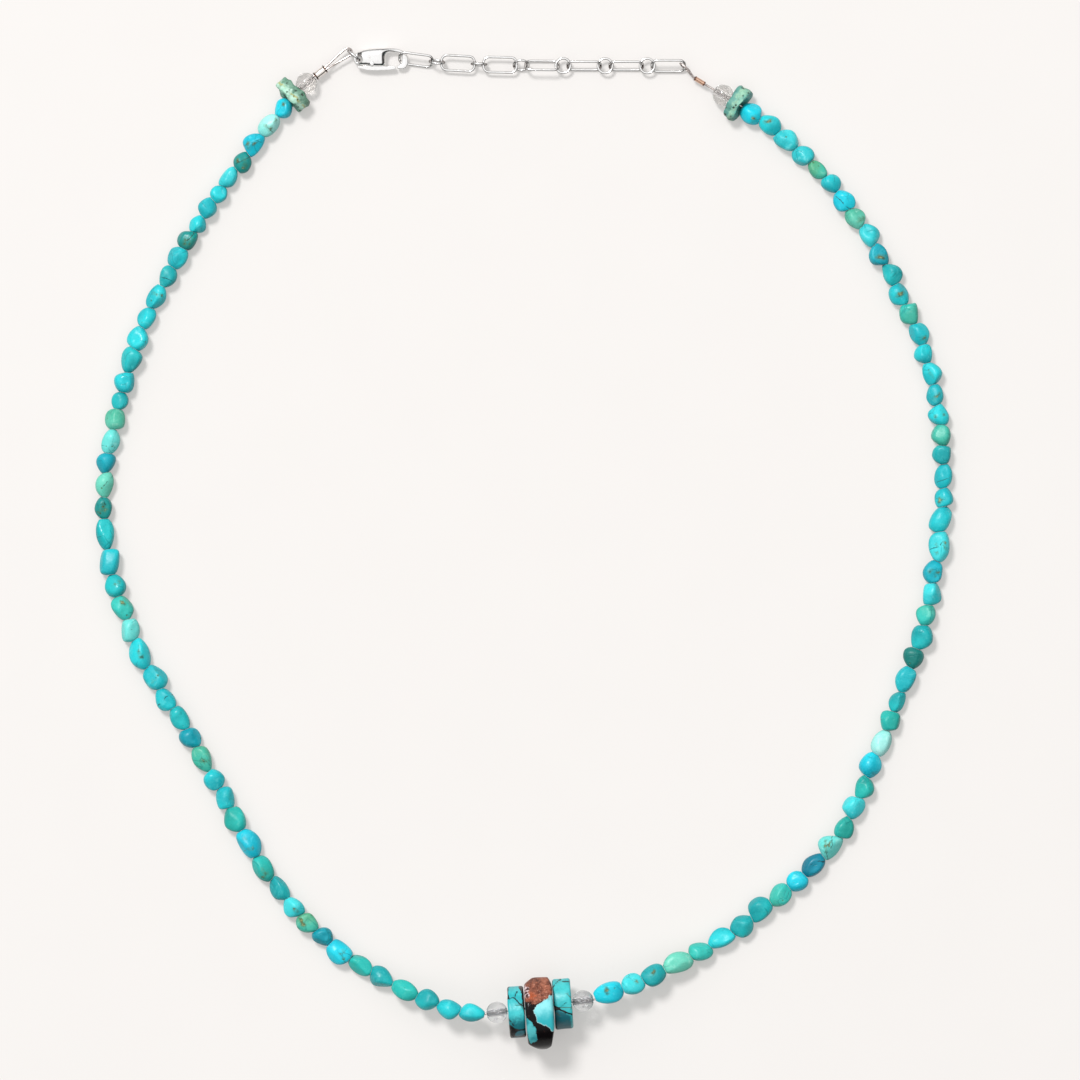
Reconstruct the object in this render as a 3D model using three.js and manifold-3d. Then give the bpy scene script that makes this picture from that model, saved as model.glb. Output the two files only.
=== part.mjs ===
// Beaded necklace of turquoise nuggets, lying open on a flat surface, in millimetres.
// The origin is on the surface, under the middle of the loop. +Z is up, +Y points to the clasp
// at the back of the neck, and +X points to the end that carries the extender chain.
import * as THREE from "three";
import { mergeVertices } from "three/addons/utils/BufferGeometryUtils.js";
import Module from "manifold-3d";

const wasm = await Module();
wasm.setup();

const degrees = THREE.MathUtils.degToRad;

// Driving dimensions
const WIRE_RADIUS = 0.19;
const HOLE_RADIUS = 0.52;
const QUARTZ_RADIUS = 1.9;
const BEAD_GAP = 0.15;
const WIRE_HEIGHT_CENTRE = 5.6;
const RISE_LENGTH = 26;
const WIRE_HEIGHT_END = 1.95;
const DISC_LEFT = { radius: 4.6, thickness: 2.85 };
const DISC_MIDDLE = { radius: 6.45, thickness: 5.0 };
const DISC_RIGHT = { radius: 4.5, thickness: 3.15 };
const LINK_WIRE_RADIUS = 0.21;
const OBLONG_LINK = { length: 6.3, width: 3.1, corner: 1.0 };
const ROUND_LINK_DIAMETER = 3.0;
const LINK_GAP = 0.07;
const CHAIN_HEIGHT = 1.5;
const CLASP_THICKNESS = 2.5;
const LEVER_THICKNESS = 1.0;
const LEVER_GAP = 0.15;
const PIN_RADIUS = 0.35;

// Places where the parts of the loop meet, seen from above
const CENTRE_STONES = new THREE.Vector3(2.7, -81.45, WIRE_HEIGHT_CENTRE);
const CENTRE_STONES_YAW = degrees(7.6);
const CLASP_PLACE = new THREE.Vector3(-30.1, 86.9, 0);
const CHAIN_START = new THREE.Vector2(-19.22, 86.78);
const CHAIN_DROP = 1.13;
const CHAIN_DROP_LINKS = 2.3;
const CENTRE_SPAN_LEFT = -DISC_MIDDLE.thickness / 2 - DISC_LEFT.thickness - 2 * QUARTZ_RADIUS - 4 * BEAD_GAP;
const CENTRE_SPAN_RIGHT = DISC_MIDDLE.thickness / 2 + DISC_RIGHT.thickness + 2 * QUARTZ_RADIUS + 4 * BEAD_GAP;

// Resolution of the round forms. Ten sides reach only a share of a nugget's height.
const NUGGET_SIDES = 10;
const NUGGET_UPRIGHT = Math.sin(degrees(72));
const WIRE_SIDES = 6;
const LINK_SIDES = 6;
const STONE_SIDES = 16;
const QUARTZ_SIDES = 12;
const HOLE_SIDES = 8;

// Materials, in the colours of the real pieces
const finish = (color, roughness, metalness) =>
  new THREE.MeshStandardMaterial({ color, roughness, metalness });
const TURQUOISE = finish(0x35bcc8, 0.35, 0);
const MATRIX_STONE = finish(0x7a4f3e, 0.45, 0);
const CHIP_STONE = finish(0x6aa58c, 0.45, 0);
const QUARTZ = finish(0xe3e0e1, 0.08, 0);
const SILVER = finish(0xdedede, 0.2, 1);
const WIRE = finish(0x8f8480, 0.3, 1);

// Nugget kinds, in millimetres and degrees. shift moves the middle off the wire, slant leans the
// nugget's ends over sideways, and taper makes the first half thicker than the second.
const NUGGET_KINDS = {
  P: { length: 3.4, width: 3.1, height: 3.0, shift: 0.0, slant: 0, taper: 0.0 },
  E: { length: 3.8, width: 3.4, height: 3.3, shift: 0.25, slant: 6, taper: 0.05 },
  U: { length: 4.0, width: 3.75, height: 3.4, shift: 0.1, slant: -6, taper: 0.05 },
  N: { length: 4.2, width: 2.8, height: 2.9, shift: 0.1, slant: 0, taper: 0.0 },
  G: { length: 4.2, width: 3.15, height: 3.1, shift: 0.1, slant: 8, taper: 0.12 },
  K: { length: 4.2, width: 3.55, height: 3.4, shift: 0.1, slant: -4, taper: 0.0 },
  B: { length: 4.4, width: 3.85, height: 3.6, shift: 0.05, slant: 0, taper: 0.0 },
  S: { length: 4.3, width: 3.7, height: 3.4, shift: 0.0, slant: 20, taper: 0.0 },
  F: { length: 4.5, width: 3.5, height: 3.4, shift: 0.35, slant: 6, taper: 0.06 },
  O: { length: 4.8, width: 3.25, height: 3.2, shift: 0.0, slant: 8, taper: 0.05 },
  M: { length: 4.8, width: 3.75, height: 3.5, shift: -0.1, slant: -8, taper: 0.0 },
  W: { length: 4.8, width: 3.6, height: 3.4, shift: 0.0, slant: 0, taper: 0.25 },
  D: { length: 4.9, width: 4.0, height: 3.6, shift: 0.35, slant: 5, taper: 0.04 },
  T: { length: 5.0, width: 4.0, height: 3.5, shift: 0.1, slant: 28, taper: 0.0 },
  L: { length: 5.3, width: 3.45, height: 3.3, shift: 0.1, slant: 8, taper: 0.05 },
  X: { length: 5.9, width: 3.85, height: 3.6, shift: 0.15, slant: 12, taper: 0.05 },
  Z: { length: 6.0, width: 3.3, height: 3.2, shift: 0.1, slant: 14, taper: 0.0 },
};

// The two strings, from the clasp end to the centre. The first letter is the nugget's kind, in
// lower case where the nugget is turned half round on the wire, and the second is its colour.
const LEFT_CHART = `
  eb Op Fb ed Nb Pc Ep Pc Ed Kl gt Ot Gc Bt Wt Ut Pt Ug Ot El Om Gd Zt Tc Bc
  Mm Sp Xc dc Fc Ot Ul Ly Uc Sc Dg xb Lm Oc Kp Ky el Db Om Wt Lm Bt Ft Oc`;
const RIGHT_CHART = `
  Bb fc Mp Uc Ng ec Bb Ky fp Fb fm Fc Sp fb Ec fc Gt Uc Km Em Oc ec Tb xt Fl
  ft Kg dt Ud Lb Nl Ut Lw Dl ft Bb fg Dp Ll ub Mm Dt dt Lc Sm Xp Mt Bp Xb`;

// A nugget's outline: how far from its middle each ring lies, and how far its neck to the next
const RING_PLACES = [-0.62, 0, 0.62];
const NECK_PLACE = 0.915;
const OUTLINE_BLUNTNESS = 2.4;
const OUTLINE_ROUNDNESS = 2.2;

// Routes of the two strings over the surface, from the clasp end to the centre (x, y)
const LEFT_ROUTE = [
  [-41.85, 79.55], [-45.2, 75.3], [-53.9, 63.4], [-61.9, 50.9], [-68.3, 37.8], [-72.4, 23.6],
  [-74.7, 9.0], [-72.9, -5.6], [-68.0, -19.4], [-60.3, -32.0], [-53.0, -44.8], [-45.8, -57.7],
  [-36.3, -68.9], [-24.1, -77.1], [-12.0, -82.0],
];
const RIGHT_ROUTE = [
  [38.8, 78.35], [42.7, 75.6], [50.8, 68.7], [60.0, 57.3], [67.2, 44.5], [72.3, 30.8], [74.5, 16.3],
  [73.8, 1.7], [71.3, -12.8], [66.7, -26.6], [61.3, -40.3], [54.6, -53.1], [43.8, -63.1],
  [31.8, -71.5], [18.6, -77.8],
];

// A closed mesh from a geometry, for cutting
function solid(geometry) {
  const bare = new THREE.BufferGeometry();
  bare.setAttribute("position", geometry.getAttribute("position"));
  if (geometry.index) bare.setIndex(geometry.index);
  const merged = mergeVertices(bare, 1e-4);
  const vertProperties = new Float32Array(merged.getAttribute("position").array);
  const triVerts = new Uint32Array(merged.index.array);
  return new wasm.Manifold(new wasm.Mesh({ numProp: 3, vertProperties, triVerts }));
}

// A geometry from a cut or joined solid
function shell(manifold) {
  const mesh = manifold.getMesh();
  const geometry = new THREE.BufferGeometry();
  geometry.setAttribute("position", new THREE.BufferAttribute(new Float32Array(mesh.vertProperties), 3));
  geometry.setIndex(new THREE.BufferAttribute(new Uint32Array(mesh.triVerts), 1));
  geometry.computeVertexNormals();
  return geometry;
}

// A geometry with others cut out of it
function cut(geometry, ...tools) {
  return shell(tools.reduce((left, tool) => left.subtract(solid(tool)), solid(geometry)));
}

// A named mesh
function piece(name, geometry, material) {
  const mesh = new THREE.Mesh(geometry, material);
  mesh.name = name;
  return mesh;
}

// A closed skin over rings of points, with a flat fan over each end
function loft(rings) {
  const sides = rings[0].length;
  const corners = rings.flat();
  const triangles = [];
  for (let ring = 0; ring < rings.length - 1; ring += 1) {
    for (let side = 0; side < sides; side += 1) {
      const a = ring * sides + side;
      const b = ring * sides + ((side + 1) % sides);
      triangles.push(a, b + sides, b, a, a + sides, b + sides);
    }
  }
  const last = (rings.length - 1) * sides;
  for (let side = 1; side < sides - 1; side += 1) {
    triangles.push(0, side, side + 1, last, last + side + 1, last + side);
  }
  const geometry = new THREE.BufferGeometry().setFromPoints(corners);
  geometry.setIndex(triangles);
  geometry.computeVertexNormals();
  return geometry;
}

// A round bar along X, for drilling
function drill(length, radius) {
  const bar = new THREE.CylinderGeometry(radius, radius, length, HOLE_SIDES);
  return bar.rotateZ(Math.PI / 2);
}

// A point on the straight line through the centre stones
function alongCentre(distance) {
  const direction = new THREE.Vector3(Math.cos(CENTRE_STONES_YAW), Math.sin(CENTRE_STONES_YAW), 0);
  return CENTRE_STONES.clone().addScaledVector(direction, distance);
}

// A smooth level curve through route points
function routeCurve(rows) {
  const points = rows.map(([x, y]) => new THREE.Vector3(x, y, 0));
  const curve = new THREE.CatmullRomCurve3(points, false, "centripetal");
  curve.arcLengthDivisions = 2000;
  return curve;
}

// The nuggets of a chart, in order, with their places along a route of the given length
function readChart(chart, routeLength) {
  const nuggets = chart.trim().split(/\s+/).map((token) => {
    const kind = NUGGET_KINDS[token[0].toUpperCase()];
    const turned = token[0] === token[0].toUpperCase() ? 1 : -1;
    return { ...kind, shift: kind.shift * turned, slant: kind.slant * turned };
  });
  const total = nuggets.reduce((sum, nugget) => sum + nugget.length, 0);
  let start = 0;
  for (const nugget of nuggets) {
    nugget.pitch = (nugget.length / total) * routeLength;
    nugget.middle = start + nugget.pitch / 2;
    start += nugget.pitch;
  }
  return nuggets;
}

// How wide a nugget is at a place between its ends, as a share of its middle
function outline(place) {
  return (1 - Math.abs(place) ** OUTLINE_BLUNTNESS) ** (1 / OUTLINE_ROUNDNESS);
}

// The wire's height at a distance from the centre stones: low on the surface, rising to the discs
function wireHeight(restHeight, distanceToCentre) {
  const share = Math.min(1, distanceToCentre / RISE_LENGTH);
  const ease = (1 + Math.cos(Math.PI * share)) / 2;
  return restHeight + (WIRE_HEIGHT_CENTRE - restHeight) * ease;
}

// One ring of a nugget across the route
function nuggetRing(curve, routeLength, ring) {
  const share = THREE.MathUtils.clamp(ring.distance / routeLength, 0, 1);
  const middle = curve.getPointAt(share);
  const ahead = curve.getTangentAt(share);
  const aside = new THREE.Vector3(ahead.y, -ahead.x, 0);
  const lean = Math.tan(degrees(ring.slant));
  const points = [];
  for (let side = 0; side < NUGGET_SIDES; side += 1) {
    const angle = (2 * Math.PI * side) / NUGGET_SIDES;
    const across = ring.width * Math.cos(angle);
    const up = (ring.height * Math.sin(angle)) / NUGGET_UPRIGHT;
    const point = middle.clone();
    point.addScaledVector(aside, ring.shift + across);
    point.addScaledVector(ahead, lean * across);
    point.z = ring.level + up;
    points.push(point);
  }
  return points;
}

// A whole string of nuggets as one closed body, drilled at both ends for the wire
function nuggetString(route, chart) {
  const curve = routeCurve(route);
  const routeLength = curve.getLength();
  const nuggets = readChart(chart, routeLength);
  const rings = [];
  const neck = outline(NECK_PLACE);
  const level = (nugget, distance) => wireHeight(nugget.height / 2, routeLength - distance);
  const neckRing = (before, after, distance) => ({
    distance,
    width: (neck * (before.width + after.width)) / 4,
    height: (neck * (before.height + after.height)) / 4,
    level: (level(before, distance) + level(after, distance)) / 2,
    shift: 0,
    slant: 0,
  });
  nuggets.forEach((nugget, index) => {
    const previous = nuggets[index - 1] ?? nugget;
    rings.push(neckRing(previous, nugget, nugget.middle - nugget.pitch / 2));
    for (const place of RING_PLACES) {
      const fade = 1 - place * place;
      const distance = nugget.middle + (place / NECK_PLACE) * (nugget.pitch / 2);
      const size = (outline(place) * (1 - nugget.taper * place)) / 2;
      rings.push({
        distance,
        width: nugget.width * size,
        height: nugget.height * size,
        level: level(nugget, distance),
        shift: nugget.shift * fade,
        slant: nugget.slant * fade,
      });
    }
  });
  const last = nuggets[nuggets.length - 1];
  rings.push(neckRing(last, last, routeLength));
  return loft(rings.map((ring) => nuggetRing(curve, routeLength, ring)));
}

// A round bar between two points, for drilling
function drillBetween(from, to, radius) {
  const bar = drill(from.distanceTo(to), radius);
  const turn = new THREE.Quaternion().setFromUnitVectors(
    new THREE.Vector3(1, 0, 0),
    to.clone().sub(from).normalize(),
  );
  bar.applyQuaternion(turn);
  const middle = from.clone().add(to).multiplyScalar(0.5);
  return bar.translate(middle.x, middle.y, middle.z);
}

// A wire along a smooth curve through points
function wire(points, radius, steps) {
  const section = new THREE.Shape();
  for (let side = 0; side < WIRE_SIDES; side += 1) {
    const angle = (2 * Math.PI * side) / WIRE_SIDES;
    const corner = [radius * Math.cos(angle), radius * Math.sin(angle)];
    if (side === 0) section.moveTo(...corner);
    else section.lineTo(...corner);
  }
  section.closePath();
  const extrudePath = new THREE.CatmullRomCurve3(points, false, "centripetal");
  return new THREE.ExtrudeGeometry(section, { steps, extrudePath });
}

// A ring turned around the X axis, from its outline as rows of (along, radius), closed on itself
function turnedRing(rows, sides) {
  const profile = rows.map(([along, radius]) => new THREE.Vector2(radius, along));
  profile.push(profile[0].clone());
  return new THREE.LatheGeometry(profile, sides).rotateZ(-Math.PI / 2);
}

// Round quartz bead with a straight hole along X
function quartzBead() {
  const holeEdge = Math.asin(HOLE_RADIUS / QUARTZ_RADIUS);
  const bands = 6;
  const rows = [];
  for (let band = 0; band <= bands; band += 1) {
    const angle = holeEdge + ((Math.PI - 2 * holeEdge) * band) / bands;
    rows.push([-QUARTZ_RADIUS * Math.cos(angle), QUARTZ_RADIUS * Math.sin(angle)]);
  }
  return turnedRing(rows, QUARTZ_SIDES);
}

// Turquoise disc around X with the wire at its origin. The rim's rows are (along, radius), and
// offset is where the disc's own middle lies from the wire hole.
function disc(rim, offset, turn) {
  const first = [rim[0][0], 0];
  const last = [rim[rim.length - 1][0], 0];
  const profile = [first, ...rim, last].map(([along, radius]) => new THREE.Vector2(radius, along));
  const round = new THREE.LatheGeometry(profile, STONE_SIDES).rotateZ(-Math.PI / 2);
  round.rotateX(Math.PI / STONE_SIDES);
  round.rotateZ(turn);
  round.translate(0, offset.y, offset.z);
  return cut(round, drill(4 * DISC_MIDDLE.thickness, HOLE_RADIUS + 0.08));
}

// Flat chip across the wire with the wire at its origin. The outline's rows are (across, up).
function chip(outlineRows, thickness, lean, wireLevel) {
  const corners = outlineRows.map(([across, up]) => new THREE.Vector2(across, up));
  const chamfer = 0.35;
  const plate = new THREE.ExtrudeGeometry(new THREE.Shape(corners), {
    depth: thickness - 2 * chamfer,
    bevelThickness: chamfer,
    bevelSize: chamfer,
    bevelOffset: -chamfer,
    bevelSegments: 1,
  });
  const upright = new THREE.Matrix4().makeBasis(
    new THREE.Vector3(0, 1, 0),
    new THREE.Vector3(0, 0, 1),
    new THREE.Vector3(1, 0, 0),
  );
  plate.applyMatrix4(upright);
  plate.translate(chamfer - thickness / 2, 0, -wireLevel);
  plate.rotateY(lean);
  plate.computeBoundingBox();
  plate.translate(0, 0, -wireLevel - plate.boundingBox.min.z);
  return cut(plate, drill(4 * thickness, HOLE_RADIUS + 0.05));
}

// Open crimp tube along X with flared rims, flattened sideways by a share
function crimp(length, outer, inner, flare, flatness) {
  const half = length / 2;
  const rows = [
    [-half, outer + flare],
    [-half + 0.3, outer],
    [half - 0.3, outer],
    [half, outer + flare],
    [half, inner],
    [-half, inner],
  ];
  return turnedRing(rows, NUGGET_SIDES).scale(1, flatness, 1);
}

// Closed wire link in the XY plane around the rows of its centreline (x, y, outward x, outward y)
function closedWire(rows, radius) {
  const rings = rows.map(([x, y, outX, outY]) => {
    const ring = [];
    for (let side = 0; side < LINK_SIDES; side += 1) {
      const angle = (2 * Math.PI * (side + 0.5)) / LINK_SIDES;
      const out = radius * Math.cos(angle);
      ring.push(new THREE.Vector3(x + out * outX, y + out * outY, radius * Math.sin(angle)));
    }
    return ring;
  });
  const points = rings.flat();
  const triangles = [];
  rings.forEach((_, index) => {
    const next = (index + 1) % rings.length;
    for (let side = 0; side < LINK_SIDES; side += 1) {
      const a = index * LINK_SIDES + side;
      const b = index * LINK_SIDES + ((side + 1) % LINK_SIDES);
      const c = next * LINK_SIDES + ((side + 1) % LINK_SIDES);
      const d = next * LINK_SIDES + side;
      triangles.push(a, c, b, a, d, c);
    }
  });
  const geometry = new THREE.BufferGeometry().setFromPoints(points);
  geometry.setIndex(triangles);
  geometry.computeVertexNormals();
  return geometry;
}

// Centreline of a round link
function roundCentreline(radius, count) {
  return Array.from({ length: count }, (_, index) => {
    const angle = (2 * Math.PI * index) / count;
    const [x, y] = [Math.cos(angle), Math.sin(angle)];
    return [radius * x, radius * y, x, y];
  });
}

// Centreline of an oblong link with round corners
function oblongCentreline({ length, width, corner }, wireRadius) {
  const halfLength = length / 2 - wireRadius - corner;
  const halfWidth = width / 2 - wireRadius - corner;
  const rows = [];
  const quarters = [[1, 1], [-1, 1], [-1, -1], [1, -1]];
  quarters.forEach(([signX, signY], quarter) => {
    for (let step = 0; step <= 3; step += 1) {
      const angle = (Math.PI / 2) * (quarter + step / 3);
      const [x, y] = [Math.cos(angle), Math.sin(angle)];
      rows.push([signX * halfLength + corner * x, signY * halfWidth + corner * y, x, y]);
    }
  });
  return rows;
}

// Strings of nuggets
const stringEndLeft = alongCentre(CENTRE_SPAN_LEFT);
const stringEndRight = alongCentre(CENTRE_SPAN_RIGHT);
const leftRoute = [...LEFT_ROUTE, [stringEndLeft.x, stringEndLeft.y]];
const rightRoute = [...RIGHT_ROUTE, [stringEndRight.x, stringEndRight.y]];

// Points of the wire at each end, from inside the first nugget up to the crimp
const DRILL_DEPTH = 2.4;
const END_WIRES = {
  left: {
    stringStart: new THREE.Vector3(-41.85, 79.55, 1.75),
    chip: new THREE.Vector3(-41.1, 80.55, 1.95),
    quartz: new THREE.Vector3(-38.7, 82.5, WIRE_HEIGHT_END),
    crimp: new THREE.Vector3(-36.2, 84.45, 1.75),
  },
  right: {
    stringStart: new THREE.Vector3(38.8, 78.35, 1.85),
    chip: new THREE.Vector3(37.85, 78.9, 1.95),
    quartz: new THREE.Vector3(35.43, 80.4, WIRE_HEIGHT_END),
    crimp: new THREE.Vector3(31.25, 82.95, 1.4),
  },
};

// The point where the wire ends inside the first nugget of a string
function insideString(end) {
  const inward = end.stringStart.clone().sub(end.chip).normalize();
  return end.stringStart.clone().addScaledVector(inward, DRILL_DEPTH);
}

function makeStrings() {
  const centreDepth = new THREE.Vector3(Math.cos(CENTRE_STONES_YAW), Math.sin(CENTRE_STONES_YAW), 0);
  const strings = [
    ["nuggets_left", leftRoute, LEFT_CHART, END_WIRES.left, stringEndLeft, -1],
    ["nuggets_right", rightRoute, RIGHT_CHART, END_WIRES.right, stringEndRight, 1],
  ];
  return strings.map(([name, route, chart, end, centreEnd, side]) => {
    const skin = nuggetString(route, chart);
    const outside = end.chip.clone();
    const endDrill = drillBetween(outside, insideString(end), HOLE_RADIUS);
    const deep = centreEnd.clone().addScaledVector(centreDepth, side * DRILL_DEPTH);
    const shallow = centreEnd.clone().addScaledVector(centreDepth, -side);
    const centreDrill = drillBetween(shallow, deep, HOLE_RADIUS);
    return piece(name, cut(skin, endDrill, centreDrill), TURQUOISE);
  });
}

// Centre stones, threaded on the straight middle of the wire
function makeCentreStones() {
  const middle = DISC_MIDDLE.thickness / 2;
  const leftDiscAt = -middle - BEAD_GAP - DISC_LEFT.thickness / 2;
  const rightDiscAt = middle + BEAD_GAP + DISC_RIGHT.thickness / 2;
  const leftQuartzAt = leftDiscAt - DISC_LEFT.thickness / 2 - BEAD_GAP - QUARTZ_RADIUS;
  const rightQuartzAt = rightDiscAt + DISC_RIGHT.thickness / 2 + BEAD_GAP + QUARTZ_RADIUS;
  const flatRim = ({ radius, thickness }) => [
    [-thickness / 2, radius - 0.5],
    [-thickness / 2 + 0.35, radius],
    [thickness / 2 - 0.35, radius],
    [thickness / 2, radius - 0.5],
  ];
  const chunkyRim = [[-2.5, 5.3], [-1.2, 6.35], [1.3, 6.45], [2.2, 6.0], [2.5, 5.4]];
  const middleLevel = 6.45 * Math.cos(Math.PI / STONE_SIDES) - WIRE_HEIGHT_CENTRE + 0.01;
  const stones = [
    ["disc_left", leftDiscAt, disc(flatRim(DISC_LEFT), { y: -0.45, z: -0.6 }, degrees(-4.2)), TURQUOISE],
    ["disc_middle", 0, disc(chunkyRim, { y: -1.19, z: middleLevel }, degrees(-3.5)), MATRIX_STONE],
    ["disc_right", rightDiscAt, disc(flatRim(DISC_RIGHT), { y: 0, z: -0.7 }, degrees(-3)), TURQUOISE],
    ["quartz_centre_left", leftQuartzAt, quartzBead(), QUARTZ],
    ["quartz_centre_right", rightQuartzAt, quartzBead(), QUARTZ],
  ];
  return stones.map(([name, distance, geometry, material]) => {
    const stone = piece(name, geometry, material);
    stone.position.copy(alongCentre(distance));
    stone.rotation.z = CENTRE_STONES_YAW;
    return stone;
  });
}

// Straight wire through the centre stones, ending inside the nuggets on either side
function makeCentreWire() {
  const ends = [
    alongCentre(CENTRE_SPAN_LEFT - DRILL_DEPTH + 0.4),
    alongCentre(0),
    alongCentre(CENTRE_SPAN_RIGHT + DRILL_DEPTH - 0.4),
  ];
  return piece("wire_centre", wire(ends, WIRE_RADIUS, 2), WIRE);
}

// Chip outlines across the wire, as rows of (across, up)
const CHIP_LEFT_OUTLINE = [
  [-3.0, 1.1], [-1.9, 0.1], [1.4, 0.0], [2.7, 1.0], [3.2, 2.5], [2.2, 3.7], [0.2, 4.3], [-2.2, 3.9], [-3.2, 2.7],
];
const CHIP_RIGHT_OUTLINE = [
  [-3.2, 1.3], [-2.4, 0.2], [0.6, 0.0], [2.5, 0.5], [3.2, 2.0], [2.6, 3.4], [0.5, 4.2], [-1.8, 4.0], [-3.1, 2.9],
];

// Chip, quartz bead and crimp at both ends
function makeEndPieces() {
  const yaw = (from, to) => Math.atan2(to.y - from.y, to.x - from.x);
  const ends = [
    ["left", CHIP_LEFT_OUTLINE, 1.9, degrees(8), crimp(2.3, 0.66, 0.54, 0.1, 1)],
    ["right", CHIP_RIGHT_OUTLINE, 1.5, degrees(14), crimp(2.1, 0.66, 0.54, 0.04, 0.62)],
  ];
  return ends.flatMap(([side, outlineRows, thickness, lean, tube]) => {
    const end = END_WIRES[side];
    const chipPiece = piece(`chip_${side}`, chip(outlineRows, thickness, lean, end.chip.z), CHIP_STONE);
    chipPiece.position.copy(end.chip);
    chipPiece.rotation.z = yaw(end.stringStart, end.quartz);
    const quartz = piece(`quartz_end_${side}`, quartzBead(), QUARTZ);
    quartz.position.copy(end.quartz);
    quartz.rotation.z = yaw(end.chip, end.crimp);
    const crimpPiece = piece(`crimp_${side}`, tube, SILVER);
    crimpPiece.position.copy(end.crimp);
    crimpPiece.rotation.z = yaw(end.quartz, end.crimp);
    return [chipPiece, quartz, crimpPiece];
  });
}

// Jump ring on the clasp's tail eye: it stands on its rim, and the left wire loops through it
const RING_RADIUS = 1.27;
const RING_WIRE_RADIUS = 0.22;
const RING_PLACE = new THREE.Vector3(-30.26, 87.5, 1.5);
const RING_YAW = degrees(-39.5);

function makeRing() {
  const ring = closedWire(roundCentreline(RING_RADIUS, 12), RING_WIRE_RADIUS).rotateX(Math.PI / 2);
  const mesh = piece("clasp_ring", ring, SILVER);
  mesh.position.copy(RING_PLACE);
  mesh.rotation.z = RING_YAW;
  return mesh;
}

// Wire loop at the clasp end: out of the first nugget, through chip, quartz and crimp, round the
// jump ring, and back into the crimp beside itself
function makeLeftWire() {
  const end = END_WIRES.left;
  const along = end.crimp.clone().sub(end.quartz).setZ(0).normalize();
  const aside = new THREE.Vector3(-along.y, along.x, 0).multiplyScalar(0.225);
  const crimpStart = end.crimp.clone().addScaledVector(along, -1.1);
  const crimpEnd = end.crimp.clone().addScaledVector(along, 1.3);
  const loop = [
    [-33.9, 86.75, 1.55], [-32.2, 88.3, 1.5], [-31.5, 88.76, 1.5], [-30.9, 88.66, 1.5],
    [-30.62, 88.15, 1.5], [-31.0, 87.5, 1.5], [-31.8, 87.0, 1.5], [-33.3, 86.15, 1.55],
  ].map((place) => new THREE.Vector3(...place));
  const points = [
    insideString(end).lerp(end.stringStart, 0.2),
    end.stringStart,
    end.chip,
    end.quartz.clone().addScaledVector(aside, 0.4),
    crimpStart.clone().add(aside),
    crimpEnd.clone().add(aside),
    ...loop,
    crimpEnd.clone().sub(aside),
    crimpStart.clone().sub(aside),
  ];
  return piece("wire_left", wire(points, WIRE_RADIUS, 44), WIRE);
}

// Wire loop at the chain end: the strands lie one above the other and pass round the last link
function makeRightWire() {
  const end = END_WIRES.right;
  const along = end.crimp.clone().sub(end.quartz).setZ(0).normalize();
  const crimpStart = end.crimp.clone().addScaledVector(along, -1.1);
  const crimpEnd = end.crimp.clone().addScaledVector(along, 1.2);
  const above = new THREE.Vector3(0, 0, 0.225);
  const loop = [
    [29.25, 84.9, 2.1], [28.65, 85.45, 2.2], [28.0, 85.95, 1.95], [27.8, 86.1, 1.4],
    [27.95, 85.9, 0.85], [28.55, 85.35, 0.58], [29.15, 84.8, 0.72],
  ].map((place) => new THREE.Vector3(...place));
  const points = [
    insideString(end).lerp(end.stringStart, 0.2),
    end.stringStart,
    end.chip,
    end.quartz,
    crimpStart.clone().add(above),
    crimpEnd.clone().add(above),
    ...loop,
    crimpEnd.clone().sub(above),
    crimpStart.clone().sub(above),
  ];
  return piece("wire_right", wire(points, WIRE_RADIUS, 44), WIRE);
}

// Extender chain: seven oblong and six round links. roll turns a link about the chain's line.
const CHAIN = [
  { shape: "oblong", roll: 45 },
  { shape: "round", roll: 105 },
  { shape: "oblong", roll: 10 },
  { shape: "round", roll: 88 },
  { shape: "oblong", roll: 4 },
  { shape: "round", roll: 50 },
  { shape: "oblong", roll: -51 },
  { shape: "round", roll: 0 },
  { shape: "oblong", roll: 60 },
  { shape: "round", roll: 0 },
  { shape: "oblong", roll: 60 },
  { shape: "round", roll: 0 },
  { shape: "oblong", roll: 46 },
];

// The chain's line over the surface: it leaves the clasp a little uphill and runs out level
function chainPoint(distance, spacing) {
  const drop = CHAIN_DROP * (1 - Math.exp(-distance / spacing / CHAIN_DROP_LINKS));
  return new THREE.Vector2(CHAIN_START.x + distance, CHAIN_START.y - drop);
}

function makeChain() {
  const oblongHole = OBLONG_LINK.length / 2 - 2 * LINK_WIRE_RADIUS;
  const roundHole = ROUND_LINK_DIAMETER / 2 - 2 * LINK_WIRE_RADIUS;
  const spacing = oblongHole + roundHole - LINK_GAP;
  const roundRadius = ROUND_LINK_DIAMETER / 2 - LINK_WIRE_RADIUS;
  return CHAIN.map(({ shape, roll }, index) => {
    const rows =
      shape === "round" ? roundCentreline(roundRadius, 12) : oblongCentreline(OBLONG_LINK, LINK_WIRE_RADIUS);
    const name = `link_${String(index + 1).padStart(2, "0")}`;
    const link = piece(name, closedWire(rows, LINK_WIRE_RADIUS), SILVER);
    const here = chainPoint(index * spacing, spacing);
    const before = chainPoint((index - 0.5) * spacing, spacing);
    const after = chainPoint((index + 0.5) * spacing, spacing);
    const level = index === 0 ? (CHAIN_HEIGHT + CLASP_THICKNESS / 2) / 2 : CHAIN_HEIGHT;
    link.rotation.order = "ZYX";
    link.position.set(here.x, here.y, level);
    link.rotation.z = Math.atan2(after.y - before.y, after.x - before.x);
    link.rotation.x = degrees(roll);
    return link;
  });
}

// A smooth closed shape through rows of points (x, y)
function smoothShape(rows) {
  const shape = new THREE.Shape().moveTo(...rows[0]);
  shape.splineThru([...rows.slice(1), rows[0]].map(([x, y]) => new THREE.Vector2(x, y)));
  return shape;
}

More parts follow.
